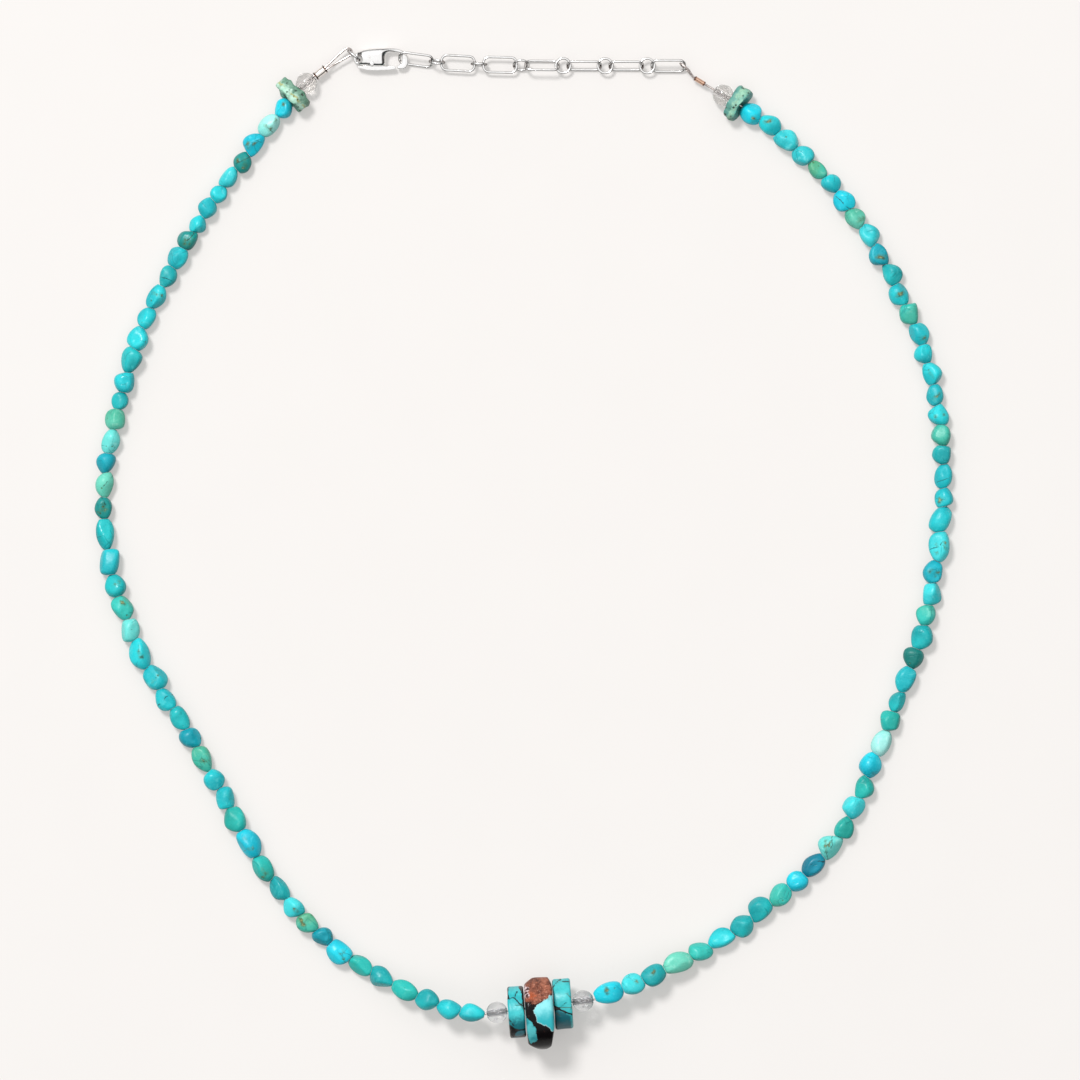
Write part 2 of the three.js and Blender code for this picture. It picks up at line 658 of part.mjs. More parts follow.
// Clasp outlines from the tail eye, with x along the clasp and y across it
const CLASP_OUTLINE = [
  [0.25, -1.0], [-0.25, -0.15], [0.0, 0.75], [0.75, 1.35], [2.2, 1.75], [4.4, 1.93], [6.4, 1.93],
  [8.1, 1.65], [9.15, 0.95], [9.5, -0.1], [9.4, -1.1], [8.9, -1.7], [8.0, -1.85], [7.5, -1.6],
  [7.65, -1.2], [8.2, -0.95], [8.36, -0.4], [8.36, 0.4], [8.05, 1.0], [7.2, 1.2], [6.0, 1.15],
  [5.55, 0.7], [5.5, -0.1], [5.5, -0.9], [5.2, -1.3], [3.6, -1.38], [1.8, -1.2],
];
const CLASP_SIDE = [
  { along: -0.6, half: 0.45 },
  { along: 0.45, half: 0.45 },
  { along: 1.3, half: 1.05 },
  { along: 2.2, half: 1.25 },
  { along: 4.8, half: 1.25 },
  { along: 5.8, half: 0.95 },
  { along: 7.3, half: 0.42 },
  { along: 9.8, half: 0.34 },
];
const TAIL_EYE = { x: 0.8, y: -0.16, radius: 0.6 };
const PIVOT = { x: 3.1, y: -0.85 };
const LEVER_SLOT = [[0.9, -2.6], [5.9, -2.6], [5.9, 0.15], [2.0, 0.15], [0.9, -0.7]];
const LEVER_OUTLINE = [
  [0.5, -1.35], [0.6, -1.62], [1.3, -1.78], [2.2, -2.0], [3.6, -2.08], [5.0, -2.02], [6.2, -1.95],
  [7.15, -1.8], [7.28, -1.5], [7.05, -1.3], [5.7, -1.35], [4.5, -1.2], [3.88, -0.9], [3.67, -0.3],
  [3.1, -0.05], [2.53, -0.3], [2.3, -0.9], [1.7, -1.28], [1.0, -1.28],
];

// An upright bar along Z
function post(x, y, radius, height, bottom) {
  const bar = new THREE.CylinderGeometry(radius, radius, height, NUGGET_SIDES).rotateX(Math.PI / 2);
  return bar.translate(x, y, bottom + height / 2);
}

// Lobster clasp body: the outline cut to its side view, with a slot, a pivot pin and the tail eye
function claspBody() {
  const settings = { depth: CLASP_THICKNESS, bevelEnabled: false, curveSegments: 2 };
  const plan = new THREE.ExtrudeGeometry(smoothShape(CLASP_OUTLINE), settings);
  const middle = CLASP_THICKNESS / 2;
  const under = CLASP_SIDE.map(({ along, half }) => new THREE.Vector2(along, middle - half));
  const over = CLASP_SIDE.map(({ along, half }) => new THREE.Vector2(along, middle + half)).reverse();
  const side = new THREE.ExtrudeGeometry(new THREE.Shape([...under, ...over]), { depth: 6, bevelEnabled: false });
  side.rotateX(Math.PI / 2).translate(0, 3, 0);
  const slotHeight = LEVER_THICKNESS + 2 * LEVER_GAP;
  const slotShape = new THREE.Shape(LEVER_SLOT.map(([x, y]) => new THREE.Vector2(x, y)));
  const slot = new THREE.ExtrudeGeometry(slotShape, { depth: slotHeight, bevelEnabled: false });
  slot.translate(0, 0, middle - slotHeight / 2);
  const pin = post(PIVOT.x, PIVOT.y, PIN_RADIUS, CLASP_THICKNESS - 0.4, 0.2);
  const eye = post(TAIL_EYE.x, TAIL_EYE.y, TAIL_EYE.radius, 2 * CLASP_THICKNESS, -1);
  const form = solid(plan).intersect(solid(side));
  return shell(form.subtract(solid(slot)).add(solid(pin)).subtract(solid(eye)));
}

// Sprung lever on its pivot, which is the geometry's origin
function claspLever() {
  const settings = { depth: LEVER_THICKNESS, bevelEnabled: false, curveSegments: 2 };
  const plan = new THREE.ExtrudeGeometry(smoothShape(LEVER_OUTLINE), settings);
  const bore = post(PIVOT.x, PIVOT.y, PIN_RADIUS + LEVER_GAP, 3 * LEVER_THICKNESS, -LEVER_THICKNESS);
  return cut(plan, bore).translate(-PIVOT.x, -PIVOT.y, -LEVER_THICKNESS / 2);
}

function makeClasp() {
  const clasp = new THREE.Group();
  clasp.position.copy(CLASP_PLACE);
  const lever = piece("clasp_lever", claspLever(), SILVER);
  lever.position.set(PIVOT.x, PIVOT.y, CLASP_THICKNESS / 2);
  clasp.add(piece("clasp_body", claspBody(), SILVER), lever);
  return clasp;
}

const necklace = new THREE.Group();
necklace.add(...makeStrings(), ...makeCentreStones(), makeCentreWire());
necklace.add(...makeEndPieces(), makeLeftWire(), makeRightWire());
necklace.add(makeRing(), makeClasp(), ...makeChain());

export default necklace;
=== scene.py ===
import math

import bpy
import numpy as np
from mathutils import Matrix, Vector


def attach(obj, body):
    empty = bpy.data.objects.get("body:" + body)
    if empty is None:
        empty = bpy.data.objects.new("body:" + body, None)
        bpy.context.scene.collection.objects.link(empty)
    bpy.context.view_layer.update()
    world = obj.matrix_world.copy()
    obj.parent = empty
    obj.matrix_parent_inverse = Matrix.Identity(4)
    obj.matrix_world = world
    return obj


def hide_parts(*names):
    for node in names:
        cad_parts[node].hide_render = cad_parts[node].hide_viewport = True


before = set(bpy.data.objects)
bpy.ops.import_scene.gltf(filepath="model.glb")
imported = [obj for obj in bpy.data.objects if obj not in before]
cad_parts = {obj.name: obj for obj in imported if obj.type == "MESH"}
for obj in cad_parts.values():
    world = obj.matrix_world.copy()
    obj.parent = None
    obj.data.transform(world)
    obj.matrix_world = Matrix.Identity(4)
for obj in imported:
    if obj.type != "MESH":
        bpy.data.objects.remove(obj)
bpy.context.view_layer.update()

# Beaded necklace of turquoise nuggets. Lengths here are in millimetres and become metres in each mesh.
MM = 0.001
BODY = "necklace"
LEVER_BODY = "lever"

# Dimensions and places, the same as in the solid model
WIRE_RADIUS = 0.19
HOLE_RADIUS = 0.52
QUARTZ_RADIUS = 1.9
BEAD_GAP = 0.15
WIRE_HEIGHT_CENTRE = 5.6
WIRE_HEIGHT_END = 1.95
RISE_LENGTH = 26
DISC_LEFT_THICKNESS = 2.85
DISC_MIDDLE_THICKNESS = 5.0
DISC_RIGHT_THICKNESS = 3.15
REACH_LEFT = DISC_MIDDLE_THICKNESS / 2 + DISC_LEFT_THICKNESS + 2 * QUARTZ_RADIUS + 4 * BEAD_GAP
REACH_RIGHT = DISC_MIDDLE_THICKNESS / 2 + DISC_RIGHT_THICKNESS + 2 * QUARTZ_RADIUS + 4 * BEAD_GAP
LINK_WIRE_RADIUS = 0.21
OBLONG_LENGTH, OBLONG_WIDTH, OBLONG_CORNER = 6.3, 3.1, 1.0
ROUND_LINK_DIAMETER = 3.0
LINK_GAP = 0.07
CHAIN_HEIGHT = 1.5
CLASP_THICKNESS = 2.5
CENTRE_STONES = np.array([2.7, -81.45, WIRE_HEIGHT_CENTRE])
CENTRE_STONES_YAW = math.radians(7.6)
CLASP_PLACE = np.array([-30.1, 86.9, 0.0])
PIVOT = (3.1, -0.85)
CHAIN_START = (-19.22, 86.78)
CHAIN_DROP, CHAIN_DROP_LINKS = 1.13, 2.3
DRILL_DEPTH = 2.4

# Nugget kinds: length, width, height, shift, slant in degrees, taper
NUGGET_KINDS = {
    "P": (3.4, 3.1, 3.0, 0.0, 0, 0.0),
    "E": (3.8, 3.4, 3.3, 0.25, 6, 0.05),
    "U": (4.0, 3.75, 3.4, 0.1, -6, 0.05),
    "N": (4.2, 2.8, 2.9, 0.1, 0, 0.0),
    "G": (4.2, 3.15, 3.1, 0.1, 8, 0.12),
    "K": (4.2, 3.55, 3.4, 0.1, -4, 0.0),
    "B": (4.4, 3.85, 3.6, 0.05, 0, 0.0),
    "S": (4.3, 3.7, 3.4, 0.0, 20, 0.0),
    "F": (4.5, 3.5, 3.4, 0.35, 6, 0.06),
    "O": (4.8, 3.25, 3.2, 0.0, 8, 0.05),
    "M": (4.8, 3.75, 3.5, -0.1, -8, 0.0),
    "W": (4.8, 3.6, 3.4, 0.0, 0, 0.25),
    "D": (4.9, 4.0, 3.6, 0.35, 5, 0.04),
    "T": (5.0, 4.0, 3.5, 0.1, 28, 0.0),
    "L": (5.3, 3.45, 3.3, 0.1, 8, 0.05),
    "X": (5.9, 3.85, 3.6, 0.15, 12, 0.05),
    "Z": (6.0, 3.3, 3.2, 0.1, 14, 0.0),
}

# The strings from the clasp end to the centre: the kind, the colour, and a third letter where a
# nugget has a mark: s one brown spot, p pits, k crack, v veins, t tan streak, h dark hole, m mottled
LEFT_CHART = """
    ebs Owm Fbp edm Ne Pc Ec Pc Edm Kc gtk Ocp Gc Bc Wt Uc Pt Uv Op El Ovk Gdm Zt Tc Btp
    Mmh Sp Xcp dcp Fck Ot Ul Lyt Uc Sc Dg xbp Lgp Ot Kep Kyt el Dbp Og Wt Lg Bt Fc Oc"""
RIGHT_CHART = """
    Bbs fct Me Ue Ny ec Bbk Kvt fe Flt ft Fch Sm fcs Ec fcp Gct Ucp Km Et Ock ech Tc xem Flp
    fe Km dt Ud Lc Nt Ug Lw Db fg Be fg Dpm Lnk ub Mm Dt dt Lc Sm Xv Mts Beh Xbs"""

LEFT_ROUTE = [
    (-41.85, 79.55), (-45.2, 75.3), (-53.9, 63.4), (-61.9, 50.9), (-68.3, 37.8), (-72.4, 23.6),
    (-74.7, 9.0), (-72.9, -5.6), (-68.0, -19.4), (-60.3, -32.0), (-53.0, -44.8), (-45.8, -57.7),
    (-36.3, -68.9), (-24.1, -77.1), (-12.0, -82.0),
]
RIGHT_ROUTE = [
    (38.8, 78.35), (42.7, 75.6), (50.8, 68.7), (60.0, 57.3), (67.2, 44.5), (72.3, 30.8),
    (74.5, 16.3), (73.8, 1.7), (71.3, -12.8), (66.7, -26.6), (61.3, -40.3), (54.6, -53.1),
    (43.8, -63.1), (31.8, -71.5), (18.6, -77.8),
]
END_WIRES = {
    "left": {
        "string": np.array([-41.85, 79.55, 1.75]),
        "chip": np.array([-41.1, 80.55, 1.95]),
        "quartz": np.array([-38.7, 82.5, WIRE_HEIGHT_END]),
        "crimp": np.array([-36.2, 84.45, 1.75]),
    },
    "right": {
        "string": np.array([38.8, 78.35, 1.85]),
        "chip": np.array([37.85, 78.9, 1.95]),
        "quartz": np.array([35.43, 80.4, WIRE_HEIGHT_END]),
        "crimp": np.array([31.25, 82.95, 1.4]),
    },
}


def along_centre(distance):
    """A point on the straight line through the centre stones."""
    direction = np.array([math.cos(CENTRE_STONES_YAW), math.sin(CENTRE_STONES_YAW), 0.0])
    return CENTRE_STONES + direction * distance


def catmull_rom(points, steps, closed=False):
    """A smooth curve through points, as many samples to each span as steps."""
    points = np.array(points, float)
    if closed:
        padded = np.vstack([points[-1:], points, points[:2]])
    else:
        padded = np.vstack([2 * points[0] - points[1], points, 2 * points[-1] - points[-2]])
    share = np.linspace(0, 1, steps, endpoint=False)[:, None]
    spans = []
    for a, b, c, d in zip(padded, padded[1:], padded[2:], padded[3:]):
        ab, bc, cd = (max(np.linalg.norm(q - p), 1e-6) ** 0.5 for p, q in ((a, b), (b, c), (c, d)))
        leave = ((b - a) / ab - (c - a) / (ab + bc) + (c - b) / bc) * bc
        arrive = ((c - b) / bc - (d - b) / (bc + cd) + (d - c) / cd) * bc
        cubic = (2 * b - 2 * c + leave + arrive) * share**3
        spans.append(cubic + (3 * c - 3 * b - 2 * leave - arrive) * share**2 + leave * share + b)
    if not closed:
        spans.append(points[-1:])
    return np.vstack(spans)


class Route:
    """A level curve over the surface, measured by the distance along it."""

    def __init__(self, points):
        self.samples = catmull_rom(points, 60)
        steps = np.linalg.norm(np.diff(self.samples, axis=0), axis=1)
        self.marks = np.concatenate([[0.0], np.cumsum(steps)])
        self.length = self.marks[-1]

    def place(self, distance):
        return np.stack([np.interp(distance, self.marks, self.samples[:, axis]) for axis in (0, 1)], -1)

    def heading(self, distance):
        step = 0.3
        ahead = self.place(distance + step) - self.place(distance - step)
        return ahead / np.linalg.norm(ahead, axis=-1, keepdims=True)


def round_angles(count):
    """Angles of equally spaced points round a circle."""
    return np.linspace(0, 2 * math.pi, count, endpoint=False)


def ring_around(along, radius, angle):
    """A ring of points around X; its radius may differ from angle to angle."""
    return np.stack([np.full(len(angle), along), radius * np.cos(angle), radius * np.sin(angle)], -1)


def turned_rows(rows, sides):
    """Round rings of points around X, one for each (along, radius)."""
    angle = round_angles(sides)
    return np.stack([ring_around(along, radius, angle) for along, radius in rows])


def grid_faces(rows, columns, first=0, wrap_rows=False):
    """Quads over a grid of points whose columns close on themselves."""
    faces = []
    for row in range(rows if wrap_rows else rows - 1):
        here = first + row * columns
        after = first + ((row + 1) % rows) * columns
        for column in range(columns):
            side = (column + 1) % columns
            faces.append((here + column, here + side, after + side, after + column))
    return faces


def mesh_piece(name, points, faces, material, replaces, sharp=50, attributes=None, body=BODY):
    """A named piece from points in millimetres, finished, joined to its body and standing for a node."""
    mesh = bpy.data.meshes.new(name)
    mesh.from_pydata((np.asarray(points) * MM).tolist(), [], faces)
    for title, values in (attributes or {}).items():
        layer = mesh.attributes.new(title, "FLOAT", "POINT")
        layer.data.foreach_set("value", np.asarray(values, np.float32))
    mesh.materials.append(material)
    dress(bpy.data.objects.new(name, mesh), replaces, sharp, body)


def dress(piece, replaces, sharp, body=BODY):
    """Smooth shading up to an angle, and the piece's place in the frame."""
    mesh = piece.data
    mesh.shade_smooth()
    mesh.set_sharp_from_angle(angle=math.radians(sharp))
    bpy.context.scene.collection.objects.link(piece)
    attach(piece, body)
    if replaces:
        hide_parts(replaces)


def waves(points, rng, count, low, high):
    """Smooth seeded noise of about -1 to 1, as a sum of plane waves through space."""
    total = np.zeros(points.shape[:-1])
    for _ in range(count):
        direction = rng.normal(size=3)
        direction *= rng.uniform(low, high) / np.linalg.norm(direction)
        total += np.sin(points @ direction + rng.uniform(0, 2 * math.pi))
    return total / math.sqrt(count)


# Colours and material nodes


def linear(red, green, blue):
    """A shader colour from one of 0 to 255 a channel."""
    channels = []
    for value in (red, green, blue):
        value /= 255
        channels.append(value / 12.92 if value <= 0.04045 else ((value + 0.055) / 1.055) ** 2.4)
    return (*channels, 1.0)


class Finish:
    """A material and short names for the nodes that it is made of."""

    def __init__(self, name):
        self.material = bpy.data.materials.new(name)
        self.material.use_nodes = True
        self.tree = self.material.node_tree
        self.shader = self.tree.nodes["Principled BSDF"]
        self.place = self.add("ShaderNodeTexCoord").outputs["Object"]

    def add(self, kind):
        return self.tree.nodes.new(kind)

    def feed(self, socket, value):
        if isinstance(value, bpy.types.NodeSocket):
            self.tree.links.new(value, socket)
        else:
            socket.default_value = value

    def set(self, title, value):
        self.feed(self.shader.inputs[title], value)

    def noise(self, scale, detail=2.0, roughness=0.5, distortion=0.0):
        node = self.add("ShaderNodeTexNoise")
        self.feed(node.inputs["Vector"], self.place)
        settings = {"Scale": scale, "Detail": detail, "Roughness": roughness, "Distortion": distortion}
        for title, value in settings.items():
            node.inputs[title].default_value = value
        return node.outputs["Fac"]

    def cells(self, scale, feature="F1", randomness=1.0):
        node = self.add("ShaderNodeTexVoronoi")
        node.feature = feature
        self.feed(node.inputs["Vector"], self.place)
        node.inputs["Scale"].default_value = scale
        node.inputs["Randomness"].default_value = randomness
        return node.outputs["Distance"]

    def math(self, operation, a, b=0.0):
        node = self.add("ShaderNodeMath")
        node.operation = operation
        self.feed(node.inputs[0], a)
        self.feed(node.inputs[1], b)
        return node.outputs[0]

    def times(self, a, b):
        return self.math("MULTIPLY", a, b)

    def plus(self, a, b):
        return self.math("ADD", a, b)

    def minus(self, a, b):
        return self.math("SUBTRACT", a, b)

    def most(self, a, b):
        return self.math("MAXIMUM", a, b)

    def size(self, a):
        return self.math("ABSOLUTE", a)

    def step(self, value, low, high):
        """0 below low, 1 above high, smooth between; the other way round where low is above high."""
        node = self.add("ShaderNodeMapRange")
        node.interpolation_type = "SMOOTHSTEP"
        falling = low > high
        self.feed(node.inputs["Value"], value)
        node.inputs["From Min"].default_value = min(low, high)
        node.inputs["From Max"].default_value = max(low, high)
        node.inputs["To Min"].default_value = 1.0 if falling else 0.0
        node.inputs["To Max"].default_value = 0.0 if falling else 1.0
        return node.outputs["Result"]

    def mix(self, share, a, b):
        node = self.add("ShaderNodeMix")
        node.data_type = "RGBA"
        self.feed(node.inputs["Factor"], share)
        for socket, value in ((6, a), (7, b)):
            self.feed(node.inputs[socket], value)
        return node.outputs[2]

    def patches(self, low, high, scale, *texture):
        """Soft-edged patches of noise."""
        return self.step(self.noise(scale, *texture), low, high)

    def wobble(self, scale, *texture):
        """Noise around 0."""
        return self.minus(self.noise(scale, *texture), 0.5)

    def lay(self, under, share, strength, over):
        """A colour laid over another, by a share times a strength."""
        return self.mix(self.times(share, strength), under, over)

    def ragged(self, title, wobble, strength):
        """The distance that a mesh carries under a title, roughened so that its edge is uneven."""
        return self.plus(self.attribute(title), self.times(wobble, strength))

    def attribute(self, title):
        node = self.add("ShaderNodeAttribute")
        node.attribute_name = title
        return node.outputs["Fac"]

    def bump(self, height, distance, strength=1.0):
        node = self.add("ShaderNodeBump")
        node.inputs["Strength"].default_value = strength
        node.inputs["Distance"].default_value = distance
        self.feed(node.inputs["Height"], height)
        self.set("Normal", node.outputs["Normal"])


BROWN = linear(78, 80, 42)
DARK_BROWN = linear(46, 38, 28)
TAN = linear(140, 142, 92)
OLIVE = linear(70, 98, 54)


def nugget_finish(name, main, second, pale, green_share, speckle):
    """Polished turquoise: clouded colour, a greener share, pits, and the marks that a nugget carries."""
    stone = Finish(name)
    cloud = stone.noise(260, 3.0, 0.55)
    drift = stone.plus(stone.times(stone.attribute("fade"), 0.35), cloud)
    colour = stone.mix(stone.step(drift, 0.25, 0.8), main, second)
    green = stone.patches(0.66 - green_share, 0.8 - green_share, 330, 3.0, 0.6, 0.6)
    colour = stone.lay(colour, green, 0.45, linear(40, 150, 124))
    streak = stone.patches(0.56, 0.72, 520, 4.0, 0.6, 1.4)
    colour = stone.lay(colour, streak, 0.32, pale)
    grain = stone.noise(2600, 3.0, 0.7)
    colour = stone.lay(colour, stone.step(grain, 0.42, 0.68), 0.1, pale)
    seam = stone.step(stone.cells(430, "DISTANCE_TO_EDGE"), 0.04, 0.01)
    seam = stone.times(seam, stone.patches(0.52, 0.62, 300))
    colour = stone.lay(colour, seam, 0.4, linear(10, 96, 98))
    dust = stone.patches(0.52, 0.7, 3600, 3.0, 0.8)
    colour = stone.lay(colour, dust, 0.16, linear(8, 104, 112))
    pitted = stone.patches(0.62 - speckle, 0.7 - speckle, 420)
    pits = stone.times(stone.step(stone.cells(900), 0.19, 0.1), pitted)
    colour = stone.lay(colour, pits, 0.75, OLIVE)
    wobble = stone.times(stone.wobble(1500, 4.0, 0.65), 1.3)
    spot_edge = stone.plus(stone.attribute("spot"), wobble)
    spot = stone.step(spot_edge, 0.1, -0.1)
    spot_colour = stone.mix(stone.patches(0.45, 0.7, 1900, 3.0), BROWN, TAN)
    colour = stone.lay(colour, spot, 0.9, spot_colour)
    halo = stone.times(stone.step(spot_edge, 0.45, 0.0), stone.minus(1.0, spot))
    colour = stone.lay(colour, halo, 0.45, OLIVE)
    vein_edge = stone.size(stone.ragged("vein", wobble, 0.45))
    broken = stone.patches(0.42, 0.56, 640, 2.0)
    vein = stone.times(stone.step(vein_edge, 0.09, 0.02), broken)
    colour = stone.lay(colour, vein, 0.75, DARK_BROWN)
    marks = stone.most(spot, stone.most(vein, pits))
    stone.set("Base Color", colour)
    stone.set("Roughness", stone.plus(stone.times(marks, 0.3), stone.times(cloud, 0.72)))
    stone.set("Specular IOR Level", 0.22)
    dents = stone.most(stone.times(marks, 0.8), stone.times(seam, 0.3))
    stone.bump(stone.minus(stone.noise(700, 4.0, 0.55), dents), 0.00014, 0.8)
    return stone.material


# Nugget colours: main, second, pale, share of green clouds, share of pits
NUGGET_COLOURS = {
    "b": ((24, 178, 194), (16, 154, 172), (90, 202, 212), 0.0, 0.02),
    "c": ((30, 174, 180), (22, 150, 158), (98, 200, 200), 0.02, 0.04),
    "e": ((54, 184, 188), (36, 162, 168), (124, 208, 208), 0.02, 0.04),
    "t": ((28, 160, 162), (20, 136, 140), (84, 184, 180), 0.03, 0.05),
    "k": ((22, 142, 144), (16, 118, 122), (70, 166, 164), 0.03, 0.06),
    "g": ((32, 158, 150), (26, 136, 126), (90, 184, 170), 0.05, 0.06),
    "d": ((20, 120, 116), (22, 102, 96), (60, 142, 134), 0.05, 0.08),
    "p": ((88, 186, 180), (82, 180, 172), (156, 208, 200), 0.03, 0.03),
    "l": ((20, 150, 164), (14, 128, 142), (66, 174, 182), 0.0, 0.03),
    "n": ((14, 116, 136), (10, 98, 118), (52, 146, 160), 0.0, 0.03),
    "m": ((44, 164, 154), (54, 152, 134), (112, 188, 172), 0.07, 0.1),
    "y": ((54, 156, 138), (70, 144, 110), (126, 182, 156), 0.1, 0.12),
    "v": ((88, 176, 156), (62, 152, 128), (160, 208, 192), 0.05, 0.06),
    "w": ((136, 198, 192), (108, 188, 180), (180, 214, 206), 0.02, 0.02),
}


def veined_stone(name, colours, veins_width, dark, ground):
    """Turquoise slab with dark matrix: colour by cloud, painted shade towards the bottom, painted veins,
    dark zones that are matrix and painted shadow, and pale islands.
    """
    main, shade, light = colours
    stone = Finish(name)
    wobble = stone.times(stone.wobble(1300, 5.0, 0.7), 0.9)
    cloud = stone.noise(420, 4.0, 0.6)
    colour = stone.mix(stone.step(cloud, 0.35, 0.7), main, light)
    # Painted shade: the disc turns to its shade colour towards its lower side, where the mesh's below
    # measure runs low.
    low = stone.step(stone.plus(stone.attribute("below"), wobble), 0.15, -0.25)
    colour = stone.mix(low, colour, shade)
    colour = stone.lay(colour, stone.patches(0.5, 0.7, 2400, 3.0), 0.18, shade)
    fine = stone.step(stone.cells(330, "DISTANCE_TO_EDGE"), 0.035, 0.008)
    fine = stone.times(fine, stone.patches(0.52, 0.62, 240))
    colour = stone.lay(colour, fine, 0.7, BROWN)
    vein_edge = stone.ragged("vein", wobble, 0.35)
    vein = stone.step(vein_edge, veins_width, veins_width * 0.4)
    colour = stone.lay(colour, vein, 0.93, ground)
    # Dark zones: black matrix, and painted shadow along the edge where a side disc meets the middle disc.
    matrix_and_shadow_zone = stone.step(stone.ragged("dark", wobble, 0.6), 0.08, -0.04)
    matrix_and_shadow_colour = stone.mix(stone.patches(0.45, 0.7, 1100, 4.0), dark, linear(62, 50, 46))
    colour = stone.mix(matrix_and_shadow_zone, colour, matrix_and_shadow_colour)
    island = stone.step(stone.ragged("island", wobble, 0.8), 0.06, -0.1)
    colour = stone.lay(colour, island, 0.85, linear(46, 112, 124))
    stone.set("Base Color", colour)
    stone.set("Roughness", stone.plus(stone.times(stone.most(vein, fine), 0.3), 0.34))
    stone.set("Specular IOR Level", 0.25)
    cut = stone.most(vein, stone.times(fine, 0.5))
    stone.bump(stone.minus(stone.times(stone.noise(900, 4.0), 0.6), cut), 0.00018, 0.8)
    return stone.material


def matrix_stone(name):
    """Brown and black host rock with turquoise patches: rough copper above, glossy black below. The patch
    carries painted light and shade, and the copper a painted orange lit zone and painted sparkle.
    """
    stone = Finish(name)
    wobble = stone.wobble(1500, 5.0, 0.72)
    coarse = stone.wobble(520, 4.0, 0.65)
    black = stone.mix(stone.patches(0.56, 0.74, 900, 5.0, 0.7), linear(12, 9, 10), linear(52, 30, 24))
    rust = stone.mix(stone.patches(0.35, 0.68, 700, 6.0, 0.75), linear(74, 38, 30), linear(160, 98, 76))
    # Painted light: an orange lit zone on the rusty copper, towards the light.
    glow = stone.ragged("painted_lit_orange", wobble, 2.2)
    rust = stone.lay(rust, stone.step(glow, 0.4, -0.5), 0.6, linear(176, 84, 46))
    # Painted sparkle: bright flecks on the copper stand in for its glints.
    fleck = stone.patches(0.58, 0.66, 2600, 3.0, 0.8)
    rust = stone.lay(rust, fleck, 0.6, linear(206, 156, 134))
    smudge = stone.patches(0.56, 0.68, 1500, 5.0, 0.8)
    rust = stone.lay(rust, smudge, 0.6, linear(48, 28, 28))
    is_rust = stone.step(stone.ragged("rust", wobble, 1.6), 0.12, -0.12)
    colour = stone.mix(is_rust, black, rust)
    dirt = stone.ragged("dirt", wobble, 1.6)
    is_dirt = stone.step(dirt, 0.1, -0.15)
    dirt_colour = stone.mix(stone.patches(0.45, 0.6, 2300, 3.0), linear(44, 30, 32), linear(196, 176, 178))
    colour = stone.lay(colour, is_dirt, 0.85, dirt_colour)
    patch_edge = stone.ragged("patch", wobble, 0.9)
    patch = stone.step(patch_edge, 0.07, -0.03)
    # Painted light and shade on the turquoise patch: paler on the side towards the light, deeper on the
    # side away from it.
    painted_light_side = stone.step(stone.plus(stone.attribute("painted_light_side"), coarse), -0.35, 0.5)
    pale = stone.mix(painted_light_side, linear(44, 152, 160), linear(112, 186, 190))
    pale = stone.lay(pale, stone.patches(0.5, 0.75, 2500, 3.0), 0.25, linear(46, 144, 154))
    colour = stone.mix(patch, colour, pale)
    crust = stone.step(stone.size(patch_edge), 0.09, 0.02)
    colour = stone.lay(colour, crust, 0.55, linear(176, 206, 206))
    wedge_edge = stone.ragged("wedge", wobble, 1.1)
    wedge = stone.step(wedge_edge, 0.07, -0.03)
    teal = stone.mix(stone.patches(0.4, 0.65, 600, 3.0), linear(34, 126, 134), linear(74, 164, 168))
    colour = stone.mix(wedge, colour, teal)
    inlay = stone.most(patch, wedge)
    rough = stone.plus(stone.times(is_rust, 0.38), 0.16)
    stone.set("Base Color", colour)
    stone.set("Roughness", stone.plus(rough, stone.times(inlay, 0.2)))
    stone.set("Specular IOR Level", 0.12)
    relief = stone.times(stone.noise(1100, 6.0, 0.75), stone.plus(stone.times(is_rust, 1.0), 0.12))
    stone.bump(stone.minus(relief, stone.times(inlay, 0.25)), 0.0003, 0.8)
    return stone.material


def chip_finish(name, main, second, pale, vein_colour, vein_share):
    """Rough green turquoise chip: painted light near its edge and painted shade that darkens one face, with
    pits and a coloured vein.
    """
    stone = Finish(name)
    wobble = stone.wobble(1400, 5.0, 0.7)
    colour = stone.mix(stone.patches(0.38, 0.64, 650, 5.0, 0.6, 0.8), main, second)
    # Painted light: the chip turns pale near its outline, where its edge catches the light.
    rim = stone.ragged("edge", wobble, 1.2)
    colour = stone.lay(colour, stone.step(rim, 0.35, -0.2), 0.7, pale)
    # Painted shade: the chip's second, darker colour grows over one face. The same measure through the
    # thickness places the vein band in its middle.
    across = stone.ragged("vein", wobble, 2.0)
    colour = stone.lay(colour, stone.step(across, 0.1, 0.8), 0.75, second)
    band = stone.step(stone.size(across), 0.34, 0.05)
    band = stone.times(band, stone.patches(0.42, 0.56, 500))
    colour = stone.lay(colour, band, vein_share, vein_colour)
    pits = stone.times(stone.step(stone.cells(1250), 0.3, 0.14), stone.patches(0.46, 0.56, 700))
    colour = stone.lay(colour, pits, 0.85, DARK_BROWN)
    speck = stone.patches(0.58, 0.7, 3200, 3.0, 0.8)
    colour = stone.lay(colour, speck, 0.3, linear(60, 86, 80))
    stone.set("Base Color", colour)
    stone.set("Roughness", stone.plus(stone.times(pits, 0.3), 0.42))
    stone.bump(stone.minus(stone.noise(1300, 6.0, 0.7), pits), 0.00026, 1.0)
    return stone.material


